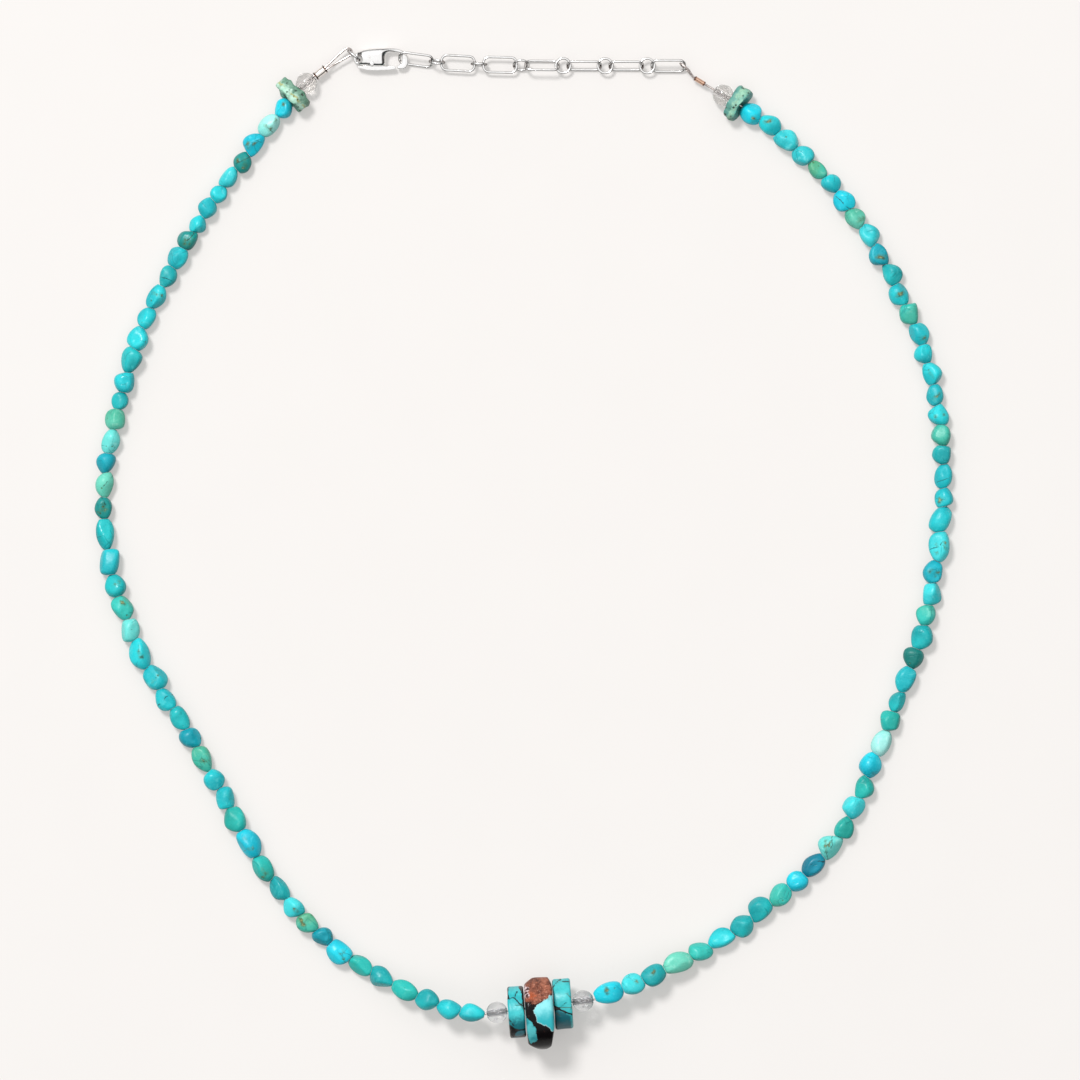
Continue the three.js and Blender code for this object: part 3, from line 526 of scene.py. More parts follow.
def quartz_finish(name, clear, veiled, flecked, bored):
    """Clear cloudy quartz with faint inner veils."""
    stone = Finish(name)
    veil = stone.patches(0.5, 0.75, 900, 4.0, 0.7, 1.0)
    fleck = stone.patches(0.56, 0.68, 2300, 4.0, 0.75)
    tint = stone.mix(veil, clear, veiled)
    tint = stone.mix(fleck, tint, flecked)
    bore = stone.attribute("bore")
    stone.set("Base Color", stone.lay(tint, bore, 0.45, bored))
    cloudy = stone.times(stone.most(fleck, stone.times(bore, 0.5)), 0.5)
    stone.set("Transmission Weight", stone.minus(0.95, cloudy))
    stone.set("IOR", 1.3)
    stone.set("Roughness", stone.plus(stone.times(veil, 0.25), 0.05))
    stone.bump(stone.noise(1600, 3.0, 0.6), 0.00006, 0.5)
    return stone.material


def silver_finish(name, colour, tarnish, base_roughness, rims=None, flanks=None):
    """Polished silver with faint scratches and clouds of tarnish, darker at a tube's rims, and with a
    painted dark reflection on a tube's flanks.
    """
    metal = Finish(name)
    cloud = metal.noise(900, 4.0, 0.6)
    tone = metal.lay(colour, metal.step(cloud, 0.52, 0.75), 0.5, tarnish)
    if rims:
        tone = metal.mix(metal.step(metal.attribute("rim"), 0.34, 0.16), tone, rims)
    if flanks:
        # Painted reflection, not wear: where the wire's surface faces sideways it is darkened, as polished
        # silver would show a dark surrounding.
        worn = metal.plus(metal.attribute("flank"), metal.times(metal.minus(cloud, 0.5), 0.3))
        tone = metal.mix(metal.step(worn, 0.26, 0.55), tone, flanks)
    metal.set("Base Color", tone)
    metal.set("Metallic", 1.0)
    scratches = metal.noise(5200, 2.0, 0.6, 2.5)
    metal.set("Roughness", metal.plus(metal.times(scratches, 0.12), base_roughness))
    metal.bump(scratches, 0.00002, 0.35)
    return metal.material


def wire_finish():
    """Stranded beading wire under clear nylon."""
    metal = Finish("beading_wire")
    strands = metal.noise(4200, 2.0, 0.5)
    tone = metal.mix(metal.step(strands, 0.3, 0.7), linear(146, 134, 130), linear(196, 188, 184))
    metal.set("Base Color", tone)
    metal.set("Metallic", 0.85)
    metal.set("Roughness", metal.plus(metal.times(strands, 0.15), 0.18))
    metal.set("Coat Weight", 0.5)
    metal.bump(strands, 0.00002, 0.4)
    return metal.material


SILVER = silver_finish("silver", linear(246, 245, 244), linear(214, 208, 204), base_roughness=0.08)
# The chain's silver carries a painted dark reflection on the flanks of its wire.
CHAIN_SILVER = silver_finish(
    "chain_silver", linear(250, 249, 248), linear(214, 208, 204), base_roughness=0.07,
    flanks=linear(96, 88, 85),
)
# The left crimp's brown clouds are partly tarnish and partly a painted brown reflection.
CRIMP_LEFT_SILVER = silver_finish(
    "crimp_silver", linear(236, 228, 222), linear(168, 124, 104), base_roughness=0.1,
    rims=linear(84, 60, 50),
)
CRIMP_RIGHT_COPPER = silver_finish(
    "crimp_copper", linear(214, 174, 150), linear(128, 90, 74), base_roughness=0.2,
    rims=linear(120, 86, 72),
)
QUARTZ_CENTRE = quartz_finish(
    "quartz_centre", clear=linear(232, 232, 233), veiled=linear(198, 198, 200),
    flecked=linear(164, 163, 166), bored=linear(118, 117, 122),
)
QUARTZ_END = quartz_finish(
    "quartz_end", clear=linear(250, 248, 246), veiled=linear(226, 222, 220),
    flecked=linear(204, 199, 196), bored=linear(146, 142, 144),
)
WIRE = wire_finish()


# Strings of nuggets

NUGGET_RINGS = 30
NUGGET_SIDES = 48
NUGGET_DRILL_RADIUS = 0.42
NUGGET_DRILL_DEPTH = 0.7

# Half the space between two nuggets, and the greatest tilt of the plane where they meet
NUGGET_GAP = 0.02
MEETING_TILT = 0.3

# How far along a nugget its taper, slant and shift are counted, of 1 at the very end
END_SHARE = 0.915

# A distance that no mark reaches, and the least height of any point over the surface
FAR = 9.0
CLEARANCE = 0.004

# How many spots each mark has, with their radius, and how many cracks
SPOTS = {"s": (1, 0.26), "p": (3, 0.11), "t": (1, 0.24), "h": (1, 0.3), "m": (4, 0.13), "v": (2, 0.16)}
CRACKS = {"k": 1, "v": 2, "m": 1}


def read_chart(chart, route_length):
    """The nuggets of a chart in order, with their places along the route."""
    nuggets = []
    for token in chart.split():
        length, width, height, shift, slant, taper = NUGGET_KINDS[token[0].upper()]
        turned = 1 if token[0].isupper() else -1
        nuggets.append({
            "length": length, "width": width, "height": height, "taper": taper,
            "shift": shift * turned, "slant": slant * turned, "colour": token[1], "mark": token[2:],
        })
    total = sum(nugget["length"] for nugget in nuggets)
    start = 0.0
    for nugget in nuggets:
        nugget["pitch"] = nugget["length"] / total * route_length
        nugget["middle"] = start + nugget["pitch"] / 2
        start += nugget["pitch"]
    return nuggets


def wire_height(rest_height, distance_to_centre):
    """The wire's height: low on the surface, rising to the centre stones."""
    share = np.minimum(1, distance_to_centre / RISE_LENGTH)
    ease = (1 + np.cos(math.pi * share)) / 2
    return rest_height + (WIRE_HEIGHT_CENTRE - rest_height) * ease


def pebble(rng):
    """A tumbled pebble of unit size: (along, across, up) for rings of points, with worn flats."""
    place = np.sin(np.linspace(-1, 1, NUGGET_RINGS) * math.pi / 2)
    necks = np.where(place < 0, rng.uniform(0.9, 0.96), rng.uniform(0.9, 0.96))
    size = (1 - np.abs(place * necks) ** rng.uniform(1.75, 2.1)) ** 0.5
    size *= 1 - rng.uniform(-0.2, 0.2) * place
    angle = round_angles(NUGGET_SIDES)
    square = rng.uniform(1.9, 2.15)
    radius = (np.abs(np.cos(angle)) ** square + np.abs(np.sin(angle)) ** square) ** (-1 / square)
    bulge = rng.uniform(-0.14, 0.14) * (1 - place**2)
    form = np.stack([
        np.repeat(place[:, None], NUGGET_SIDES, 1),
        size[:, None] * (radius * np.cos(angle))[None, :] + bulge[:, None],
        size[:, None] * (radius * np.sin(angle))[None, :],
    ], -1)
    for _ in range(rng.integers(2, 5)):
        around = rng.uniform(0.3, math.pi - 0.3)
        lean = rng.uniform(-0.75, 0.75)
        flat = math.cos(lean)
        normal = np.array([math.sin(lean), flat * math.cos(around), flat * math.sin(around)])
        depth = form @ normal - rng.uniform(0.64, 0.86)
        worn = np.logaddexp(0, depth * 13) / 13
        form -= (worn * rng.uniform(0.7, 1.0))[..., None] * normal
    if rng.random() < 0.6:
        middle = np.array([rng.uniform(-0.4, 0.4), rng.uniform(-0.5, 0.5), 0.85])
        near = np.exp(-((form - middle) ** 2).sum(-1) / 0.16)
        form[..., 2] -= near * rng.uniform(0.08, 0.2)
    form *= 1 + 0.04 * waves(form, rng, 5, 1.2, 3.6)[..., None]
    for axis in (1, 2):
        low, high = form[..., axis].min(), form[..., axis].max()
        form[..., axis] = (form[..., axis] - (low + high) / 2) * 2 / (high - low)
    form[..., 0] = np.repeat(place[:, None], NUGGET_SIDES, 1)
    return form, place


def nugget_marks(form, nugget, rng):
    """How far each point lies from the nugget's brown spots and from its crack, in millimetres."""
    half = np.array([nugget["pitch"] / 2, nugget["width"] / 2, nugget["height"] / 2])
    spot = np.full(form.shape[:-1], FAR)
    vein = np.full(form.shape[:-1], FAR)
    mark = nugget["mark"]
    count, radius = SPOTS.get(mark, (0, 0))
    for _ in range(count):
        centre = np.array([rng.uniform(-0.6, 0.6), rng.uniform(-0.6, 0.6), 0.0])
        centre[2] = math.sqrt(max(0.1, 1 - centre[1] ** 2))
        turn = rng.uniform(0, math.pi)
        offset = (form - centre) * half
        long = offset[..., 0] * math.cos(turn) + offset[..., 1] * math.sin(turn)
        short = -offset[..., 0] * math.sin(turn) + offset[..., 1] * math.cos(turn)
        stretch = 2.4 if mark == "t" else rng.uniform(1.0, 1.7)
        away = np.sqrt((long / stretch) ** 2 + short**2 + offset[..., 2] ** 2 * 0.5)
        spot = np.minimum(spot, away - radius * rng.uniform(0.7, 1.25))
    if mark in CRACKS:
        for _ in range(CRACKS[mark]):
            turn = rng.uniform(0, math.pi)
            plane = form[..., 0] * half[0] * math.cos(turn) + form[..., 1] * half[1] * math.sin(turn)
            bend = plane - rng.uniform(-0.5, 0.5) + 0.25 * waves(form * half, rng, 3, 1.0, 2.6)
            vein = np.where(np.abs(bend) < np.abs(vein), bend, vein)
        vein = np.where(form[..., 2] < -0.2, FAR, vein)
    return spot, vein


def nugget_body(form, place, nugget, before, after):
    """A nugget's (along, across, up) in millimetres, kept between the planes that it meets others at."""
    fade = 1 - (place * END_SHARE) ** 2
    taper = (1 - nugget["taper"] * place * END_SHARE)[:, None]
    half = nugget["pitch"] / 2
    across = form[..., 1] * nugget["width"] / 2 * taper + (nugget["shift"] * fade)[:, None]
    up = form[..., 2] * nugget["height"] / 2 * taper
    lean = np.tan(np.radians(nugget["slant"] * fade))[:, None]
    along = form[..., 0] * half + lean * across
    end_before = np.clip((-place) ** 3, 0, 1)[:, None] * before
    end_after = np.clip(place**3, 0, 1)[:, None] * after
    along = along + (end_before + end_after) * across
    along = np.clip(along, -half + before * across + NUGGET_GAP, half + after * across - NUGGET_GAP)
    return along, across, up


def drilled_ends(half, before, after):
    """The rim and the bottom of the drill hole at each end of a nugget."""
    angle = round_angles(NUGGET_SIDES)
    across = (NUGGET_DRILL_RADIUS * np.cos(angle))[None, :]
    up = (NUGGET_DRILL_RADIUS * np.sin(angle))[None, :]
    spans = []
    for sign, tilt in ((-1, before), (1, after)):
        end = sign * (half - NUGGET_GAP)
        bottom = np.full((1, NUGGET_SIDES), end - sign * NUGGET_DRILL_DEPTH)
        spans.append((end + tilt * across, across, up))
        spans.append((bottom, across * 0.9, up * 0.9))
    return spans


def on_string(route, nugget, spans):
    """Points measured along, across and up from a nugget's middle, bent along the string."""
    points = []
    for along, across, up in spans:
        distance = nugget["middle"] + along
        ahead = route.heading(distance)
        aside = np.stack([ahead[..., 1], -ahead[..., 0]], -1)
        flat = route.place(distance) + aside * across[..., None]
        level = wire_height(nugget["height"] / 2, route.length - distance)
        raised = np.maximum(level + up, CLEARANCE)[..., None]
        points.append(np.concatenate([flat, raised], -1).reshape(-1, 3))
    return np.vstack(points)


def nugget_faces():
    """The faces of a nugget: its body, then the wall and the bottom of the hole at each end."""
    body = NUGGET_RINGS * NUGGET_SIDES
    faces = grid_faces(NUGGET_RINGS, NUGGET_SIDES)
    first_ring = list(range(NUGGET_SIDES))
    last_ring = [body - NUGGET_SIDES + side for side in range(NUGGET_SIDES)]
    rings = [[body + ring * NUGGET_SIDES + side for side in range(NUGGET_SIDES)] for ring in range(4)]
    bridge(faces, rings[0], first_ring)
    bridge(faces, rings[1], rings[0])
    bridge(faces, last_ring, rings[2])
    bridge(faces, rings[2], rings[3])
    faces.append(tuple(rings[1]))
    faces.append(tuple(reversed(rings[3])))
    return faces


def make_nugget(name, node, route, nugget, tilts, rng, finishes):
    """One drilled nugget between the two planes where it meets its neighbours."""
    form, place = pebble(rng)
    before, after = (math.tan(tilt) for tilt in tilts)
    spans = [nugget_body(form, place, nugget, before, after)]
    spans += drilled_ends(nugget["pitch"] / 2, before, after)
    spot, vein = nugget_marks(form, nugget, rng)
    axis = rng.normal(size=3)
    gradient = form @ (axis / np.linalg.norm(axis)) + rng.uniform(-0.6, 0.6)
    extra = 4 * NUGGET_SIDES
    attributes = {
        "spot": np.concatenate([spot.ravel(), np.full(extra, FAR)]),
        "vein": np.concatenate([vein.ravel(), np.full(extra, FAR)]),
        "fade": np.concatenate([gradient.ravel(), np.zeros(extra)]),
    }
    finish = finishes[nugget["colour"]]
    points = on_string(route, nugget, spans)
    mesh_piece(name, points, nugget_faces(), finish, node, 42, attributes)


def bridge(faces, ring, after):
    """Quads from one ring of points to the next."""
    count = len(ring)
    for side in range(count):
        follow = (side + 1) % count
        faces.append((ring[side], ring[follow], after[follow], after[side]))


def make_string(side, points, chart, centre_end, seed, finishes):
    """All the nuggets of one string."""
    route = Route([*points, tuple(centre_end[:2])])
    nuggets = read_chart(chart, route.length)
    tilt_rng = np.random.default_rng(seed)
    tilts = tilt_rng.uniform(-MEETING_TILT, MEETING_TILT, len(nuggets) + 1)
    tilts[0] = tilts[-1] = 0
    for index, nugget in enumerate(nuggets):
        rng = np.random.default_rng(seed * 1000 + index)
        name = f"nugget_{side}_{index + 1:02d}"
        make_nugget(name, f"nuggets_{side}", route, nugget, tilts[index:index + 2], rng, finishes)


def make_strings():
    """Both strings of nuggets, with one finish for each colour class."""
    finishes = {}
    for letter, (main, second, pale, green, speckle) in NUGGET_COLOURS.items():
        finishes[letter] = nugget_finish(
            f"turquoise_{letter}", linear(*main), linear(*second), linear(*pale), green, speckle
        )
    make_string("left", LEFT_ROUTE, LEFT_CHART, along_centre(-REACH_LEFT), 11, finishes)
    make_string("right", RIGHT_ROUTE, RIGHT_CHART, along_centre(REACH_RIGHT), 12, finishes)


# Stones turned or cut around the wire


def place_matrix(centre, yaw):
    """Where a stone made around its own wire hole goes, in millimetres."""
    return Matrix.Translation(Vector(centre)) @ Matrix.Rotation(yaw, 4, "Z")


def moved(points, matrix):
    """Points after a matrix."""
    turned = np.array(matrix)
    return points @ turned[:3, :3].T + turned[:3, 3]


def ring_stone(reach, stations, hole):
    """A closed stone around X. reach is its radius at each angle, and each station of the section is
    (along, share of the way from the hole to the reach)."""
    reach = np.asarray(reach)
    angle = round_angles(len(reach))
    rows = []
    for along, share in stations:
        radius = hole + (reach - hole) * share
        rows.append(ring_around(along, radius, angle))
    return np.stack(rows), grid_faces(len(stations), len(reach), wrap_rows=True)


def slab_stations(half, edge_in, edge_rounding, steps):
    """Section of a flat stone: from the hole over one face, round the rim and back along the hole."""
    rows = [(-half, share) for share in np.linspace(0, 1 - edge_in, 9)]
    for step in range(1, steps):
        turn = math.pi / 2 * step / steps
        rows.append((-half + edge_rounding * (1 - math.cos(turn)), 1 - edge_in * (1 - math.sin(turn))))
    rows += [(along, 1) for along in np.linspace(-half + edge_rounding, half - edge_rounding, 9)]
    for step in range(steps - 1, 0, -1):
        turn = math.pi / 2 * step / steps
        rows.append((half - edge_rounding * (1 - math.cos(turn)), 1 - edge_in * (1 - math.sin(turn))))
    rows += [(half, share) for share in np.linspace(1 - edge_in, 0, 9)]
    rows += [(along, 0) for along in np.linspace(half, -half, 6)[1:-1]]
    return rows


def outline_distance(points, corners):
    """Signed distance in the XY plane from a closed outline, negative inside it."""
    corners = np.array(corners, float)
    flat = points[..., :2]
    nearest = np.full(flat.shape[:-1], FAR)
    inside = np.zeros(flat.shape[:-1], bool)
    for a, b in zip(corners, np.roll(corners, -1, 0)):
        nearest = np.minimum(nearest, segment_distance(flat, a, b))
        crosses = (a[1] > flat[..., 1]) != (b[1] > flat[..., 1])
        rise = b[1] - a[1] if abs(b[1] - a[1]) > 1e-9 else 1e-9
        left = flat[..., 0] < (b[0] - a[0]) * (flat[..., 1] - a[1]) / rise + a[0]
        inside ^= crosses & left
    return np.where(inside, -nearest, nearest)


def segment_distance(flat, a, b):
    """Distance in the plane from the straight line between two points."""
    span = b - a
    share = np.clip(((flat - a) @ span) / max(span @ span, 1e-9), 0, 1)
    return np.linalg.norm(flat - (a + share[..., None] * span), axis=-1)


def line_distance(points, lines):
    """Distance in the XY plane from the nearest of some open lines."""
    flat = points[..., :2]
    nearest = np.full(flat.shape[:-1], FAR)
    for line in lines:
        corners = np.array(line, float)
        for a, b in zip(corners, corners[1:]):
            nearest = np.minimum(nearest, segment_distance(flat, a, b))
    return nearest


def union(points, outlines):
    """Signed distance from several outlines taken together."""
    return np.minimum.reduce([outline_distance(points, outline) for outline in outlines])


# Marks on the discs as seen from above, as (along the wire, across it) from the wire's own place
LEFT_VEINS = [
    [(-1.6, 2.4), (-0.87, 2.2), (-0.48, 2.42), (-0.05, 2.27), (0.41, 1.67), (0.62, 1.28), (1.5, 0.6)],
    [(-0.05, 2.27), (0.31, 2.94), (0.6, 3.3)],
    [(-1.6, -1.2), (-1.1, -1.9), (-0.8, -2.6)],
]
# Dark zones of the left disc: black matrix, and a strip along the edge next to the middle disc that is
# painted shadow.
LEFT_DARK_AND_SHADOW = [
    [(-2.2, -2.0), (-1.3, -2.4), (-0.77, -3.11), (0.0, -3.39), (2.0, -3.3), (2.0, -6), (-2.6, -6)],
    [(1.1, 4.6), (2.25, 4.6), (2.2, -4), (1.34, -4), (1.3, 1.2), (1.25, 3.2), (0.95, 3.9)],
    [(-2.0, 5.0), (0.2, 4.9), (-0.85, 4.0), (-1.1, 3.0), (-0.9, 2.3), (-2.0, 2.0)],
]
LEFT_ISLANDS = [
    [(-0.7, -3.94), (-0.03, -3.66), (1.15, -3.62), (1.1, -4.42), (-0.35, -4.69), (-0.86, -4.44)],
    [(-1.45, -4.82), (-0.01, -4.83), (0.29, -5.2), (-0.8, -5.3)],
]
RIGHT_VEINS = [
    [(-1.6, 3.0), (-0.69, 3.85), (0.1, 4.38), (0.21, 5.17)],
    [(0.1, 4.38), (0.41, 3.98), (1.6, 3.8)],
    [(-0.74, -0.54), (-0.15, -0.17), (0.63, 0.27)],
]
# The right disc's dark band of matrix, and a strip along its edge next to the middle disc that is painted
# shadow.
RIGHT_BAND_AND_SHADOW = [
    [(-2.0, 0.5), (-1.2, -0.1), (-0.2, -0.85), (0.41, -1.27), (1.7, -2.0), (1.7, -2.2), (0.35, -1.58),
     (-0.3, -1.15), (-1.1, -0.75), (-1.6, -0.9), (-1.6, -4.5), (-2.0, -4.5)],
    [(-2.0, 4.0), (-1.48, 3.0), (-1.42, 0.0), (-2.0, -0.4)],
]
# The right disc's lower zone: partly its own dark teal, partly painted shade.
RIGHT_LOWER_TEAL_AND_SHADE = [(-2.3, -0.2), (-1.1, -0.7), (-0.3, -1.2), (1.19, -2.1), (1.0, -6), (-2.9, -6)]
MIDDLE_PATCH = [
    (2.0, 2.05), (2.9, 1.9), (2.9, -3.9), (1.74, -4.26), (1.45, -3.68), (0.81, -3.15), (0.3, -2.9),
    (-0.03, -2.67), (-0.61, -2.33), (-0.59, -1.52), (-1.0, -0.57), (-0.85, -0.05), (-0.29, 0.77),
    (0.47, 1.03), (1.24, 1.47), (1.8, 1.5),
]
MIDDLE_WEDGE = [
    (-3.0, -0.7), (-2.5, -1.0), (-2.06, -1.77), (-1.5, -2.3), (-1.18, -3.24), (-1.06, -5.05),
    (-1.16, -5.76), (-1.71, -5.86), (-2.19, -6.07), (-2.4, -5.76), (-2.6, -4.82), (-2.8, -3.2),
]
MIDDLE_RUST = [
    (-3.2, 1.45), (-1.8, 1.51), (-1.0, 0.78), (-0.29, 0.77), (0.47, 1.03), (1.24, 1.47), (1.96, 1.46),
    (2.22, 2.05), (3.4, 2.62), (3.4, 7), (-3.2, 7),
]
# Where the copper carries a painted orange lit zone.
MIDDLE_PAINTED_LIT_ORANGE = [(-1.39, 3.25), (-0.6, 2.43), (-0.05, 2.54), (-0.9, 1.57), (-1.76, 1.87)]
MIDDLE_DIRT = [(-2.6, 4.3), (-1.8, 4.2), (-1.2, 3.6), (-1.5, 2.9), (-1.5, 2.1), (-2.6, 2.2)]

# Cuts that give the middle disc its outline: the way each faces, in degrees, and its distance
MIDDLE_CUTS = [(126, 4.66), (74, 5.7), (21, 3.85), (-17, 3.3), (-58, 6.7), (-128, 6.55), (177, 2.55)]
DISC_SIDES = 200

# How far below the wire the marks seen from above may still show
MARKS_LEVEL = -1.5


def disc_piece(
    name, distance, thickness, radius, offset, turn, seed, finish, marks, edge=0.5, shape=None
):
    """One disc: an uneven slab around the wire, with its marks measured from above."""
    rng = np.random.default_rng(seed)
    angle = round_angles(DISC_SIDES)
    circle = np.stack([np.cos(angle), np.sin(angle), np.zeros(DISC_SIDES)], -1)
    reach_circle = radius * (1 + 0.012 * waves(circle * 2, rng, 4, 1.0, 3.0))
    direction = circle[:, :2]
    centre = np.array(offset)
    toward = direction @ centre
    reach = toward + np.sqrt(np.maximum(reach_circle**2 - (centre @ centre - toward**2), 0.1))
    stations = slab_stations(thickness / 2, edge / radius, edge * 0.8, 6)
    points, faces = ring_stone(reach, stations, HOLE_RADIUS + 0.08)
    rim = np.linalg.norm(points[..., 1:], axis=-1)
    worn = np.clip((rim - 1.2) / 2, 0, 1)[..., None]
    points = points + 0.04 * worn * waves(points, rng, 6, 0.8, 2.4)[..., None]
    points = moved(points.reshape(-1, 3), Matrix.Rotation(turn, 4, "Z"))
    if shape:
        points = shape(points)
    points[:, 2] = np.maximum(points[:, 2], -WIRE_HEIGHT_CENTRE + CLEARANCE)
    attributes = {title: measure(points) for title, measure in marks.items()}
    place = place_matrix(along_centre(distance), CENTRE_STONES_YAW)
    mesh_piece(name, moved(points, place), faces, finish, name, 40, attributes)


def upper(measure):
    """A mark that shows only on the upper part of a stone."""
    return lambda points: np.where(points[:, 2] > MARKS_LEVEL, measure(points), FAR)


def chunk(points):
    """Cuts the thick disc's outline to that of a broken chunk of rock, seen from above."""
    for facing, distance in MIDDLE_CUTS:
        normal = np.array([math.cos(math.radians(facing)), math.sin(math.radians(facing)), 0.0])
        depth = points @ normal - distance
        points = points - (np.logaddexp(0, depth * 9) / 9)[:, None] * normal
    return points


def make_discs():
    """The three large discs of the centre."""
    # Each disc's colours are its main tone, the painted shade of its lower part, and a paler tone.
    left_finish = veined_stone(
        "turquoise_disc_left", (linear(38, 150, 156), linear(22, 98, 106), linear(60, 174, 178)),
        veins_width=0.13, dark=linear(9, 12, 14), ground=linear(22, 26, 26),
    )
    right_finish = veined_stone(
        "turquoise_disc_right", (linear(40, 152, 156), linear(22, 88, 98), linear(62, 172, 174)),
        veins_width=0.1, dark=linear(9, 11, 12), ground=linear(48, 50, 40),
    )
    middle_finish = matrix_stone("turquoise_disc_middle")
    left_at = -DISC_MIDDLE_THICKNESS / 2 - BEAD_GAP - DISC_LEFT_THICKNESS / 2
    right_at = DISC_MIDDLE_THICKNESS / 2 + BEAD_GAP + DISC_RIGHT_THICKNESS / 2
    disc_piece(
        "disc_left", left_at, DISC_LEFT_THICKNESS, radius=4.6, offset=(-0.45, -0.6),
        turn=math.radians(-4.2), seed=21, finish=left_finish, marks={
            "vein": lambda p: line_distance(p, LEFT_VEINS),
            "dark": lambda p: union(p, LEFT_DARK_AND_SHADOW),
            "island": upper(lambda p: union(p, LEFT_ISLANDS)),
            # Painted shade: the left disc darkens towards its lower side, away from the light.
            "below": lambda p: (p[:, 1] + 1.3) / 5,
        },
    )
    disc_piece(
        "disc_middle", 0, DISC_MIDDLE_THICKNESS, radius=6.4, offset=(-1.19, 0.736),
        turn=math.radians(-3.5), seed=22, finish=middle_finish, marks={
            "patch": upper(lambda p: outline_distance(p, MIDDLE_PATCH)),
            "wedge": upper(lambda p: outline_distance(p, MIDDLE_WEDGE)),
            "rust": lambda p: outline_distance(p, MIDDLE_RUST),
            "painted_lit_orange": upper(lambda p: outline_distance(p, MIDDLE_PAINTED_LIT_ORANGE)),
            "dirt": upper(lambda p: outline_distance(p, MIDDLE_DIRT)),
            # How far towards the light, for the painted light and shade on the patch.
            "painted_light_side": lambda p: (p[:, 1] + 1.2) / 3,
        }, edge=0.8, shape=chunk,
    )
    disc_piece(
        "disc_right", right_at, DISC_RIGHT_THICKNESS, radius=4.5, offset=(0, -0.7),
        turn=math.radians(-3), seed=23, finish=right_finish, marks={
            "vein": lambda p: line_distance(p, RIGHT_VEINS),
            "dark": upper(lambda p: union(p, RIGHT_BAND_AND_SHADOW)),
            "island": lambda p: np.full(len(p), FAR),
            # The right disc's lower zone: partly its own dark teal, partly painted shade.
            "below": lambda p: outline_distance(p, RIGHT_LOWER_TEAL_AND_SHADE),
        },
    )


QUARTZ_SIDES = 56


def quartz_bead(name, centre, yaw, finish):
    """Round quartz bead with its hole."""
    edge = math.asin(HOLE_RADIUS / QUARTZ_RADIUS)
    rows = []
    for turn in np.linspace(edge, math.pi - edge, 33):
        rows.append((-QUARTZ_RADIUS * math.cos(turn), QUARTZ_RADIUS * math.sin(turn)))
    half = QUARTZ_RADIUS * math.cos(edge)
    rows += [(along, HOLE_RADIUS) for along in np.linspace(half, -half, 8)[1:-1]]
    faces = grid_faces(len(rows), QUARTZ_SIDES, wrap_rows=True)
    bore = np.repeat([1.0 if radius <= HOLE_RADIUS + 0.01 else 0.0 for _, radius in rows], QUARTZ_SIDES)
    points = moved(turned_rows(rows, QUARTZ_SIDES).reshape(-1, 3), place_matrix(centre, yaw))
    mesh_piece(name, points, faces, finish, name, 50, {"bore": bore})


def yaw_of(start, end):
    """The way from one place to another, as an angle seen from above."""
    return math.atan2(end[1] - start[1], end[0] - start[0])


CHIP_SIDES = 96

# Each chip's outline as (across the wire, height over the surface)
CHIP_OUTLINES = {
    "left": [
        (-3.0, 1.1), (-1.9, 0.1), (1.4, 0.0), (2.7, 1.0), (3.2, 2.5), (2.2, 3.7), (0.2, 4.3),
        (-2.2, 3.9), (-3.2, 2.7),
    ],
    "right": [
        (-3.2, 1.3), (-2.4, 0.2), (0.6, 0.0), (2.5, 0.5), (3.2, 2.0), (2.6, 3.4), (0.5, 4.2),
        (-1.8, 4.0), (-3.1, 2.9),
    ],
}


def make_chip(side, thickness, lean, finish, seed):
    """A flat uneven chip across the wire, leaning on the bead beside it."""
    end = END_WIRES[side]
    rng = np.random.default_rng(seed)
    wire_level = end["chip"][2]
    corners = [(across, up - wire_level) for across, up in CHIP_OUTLINES[side]]
    outline = catmull_rom(corners, 12, closed=True)
    bearing = np.unwrap(np.arctan2(outline[:, 1], outline[:, 0]))
    order = np.argsort(bearing % (2 * math.pi))
    angles = (bearing % (2 * math.pi))[order]
    radii = np.linalg.norm(outline, axis=1)[order]
    angle = round_angles(CHIP_SIDES)
    reach = np.interp(angle, angles, radii, period=2 * math.pi)
    points, faces = ring_stone(reach, slab_stations(thickness / 2, 0.16, 0.42, 6), HOLE_RADIUS + 0.05)
    rim = np.linalg.norm(points[..., 1:], axis=-1)
    worn = np.clip((rim - 0.9) / 1.5, 0, 1)[..., None]
    swell = 1 + 0.6 * np.clip((rim - 0.9) / 1.1, 0, 1) * (0.85 + 0.45 * waves(points, rng, 4, 0.6, 1.8))
    points[..., 0] *= swell
    points = points + 0.13 * worn * waves(points, rng, 9, 1.0, 5.0)[..., None]
    edge = (reach[None, :] - rim).ravel()
    points = points.reshape(-1, 3)
    # edge places the painted light near the outline; vein runs through the thickness and places both the
    # painted shade on one face and the vein band.
    attributes = {"edge": edge, "vein": points[:, 0] + 0.3 * waves(points, rng, 3, 0.6, 1.6) + 0.15}
    points = moved(points, Matrix.Rotation(lean, 4, "Y"))
    points[:, 2] += -wire_level - points[:, 2].min()
    points = moved(points, place_matrix(end["chip"], yaw_of(end["string"], end["quartz"])))
    mesh_piece(f"chip_{side}", points, faces, finish, f"chip_{side}", 45, attributes)


CRIMP_OUTER, CRIMP_INNER = 0.66, 0.54
CRIMP_SIDES = 40


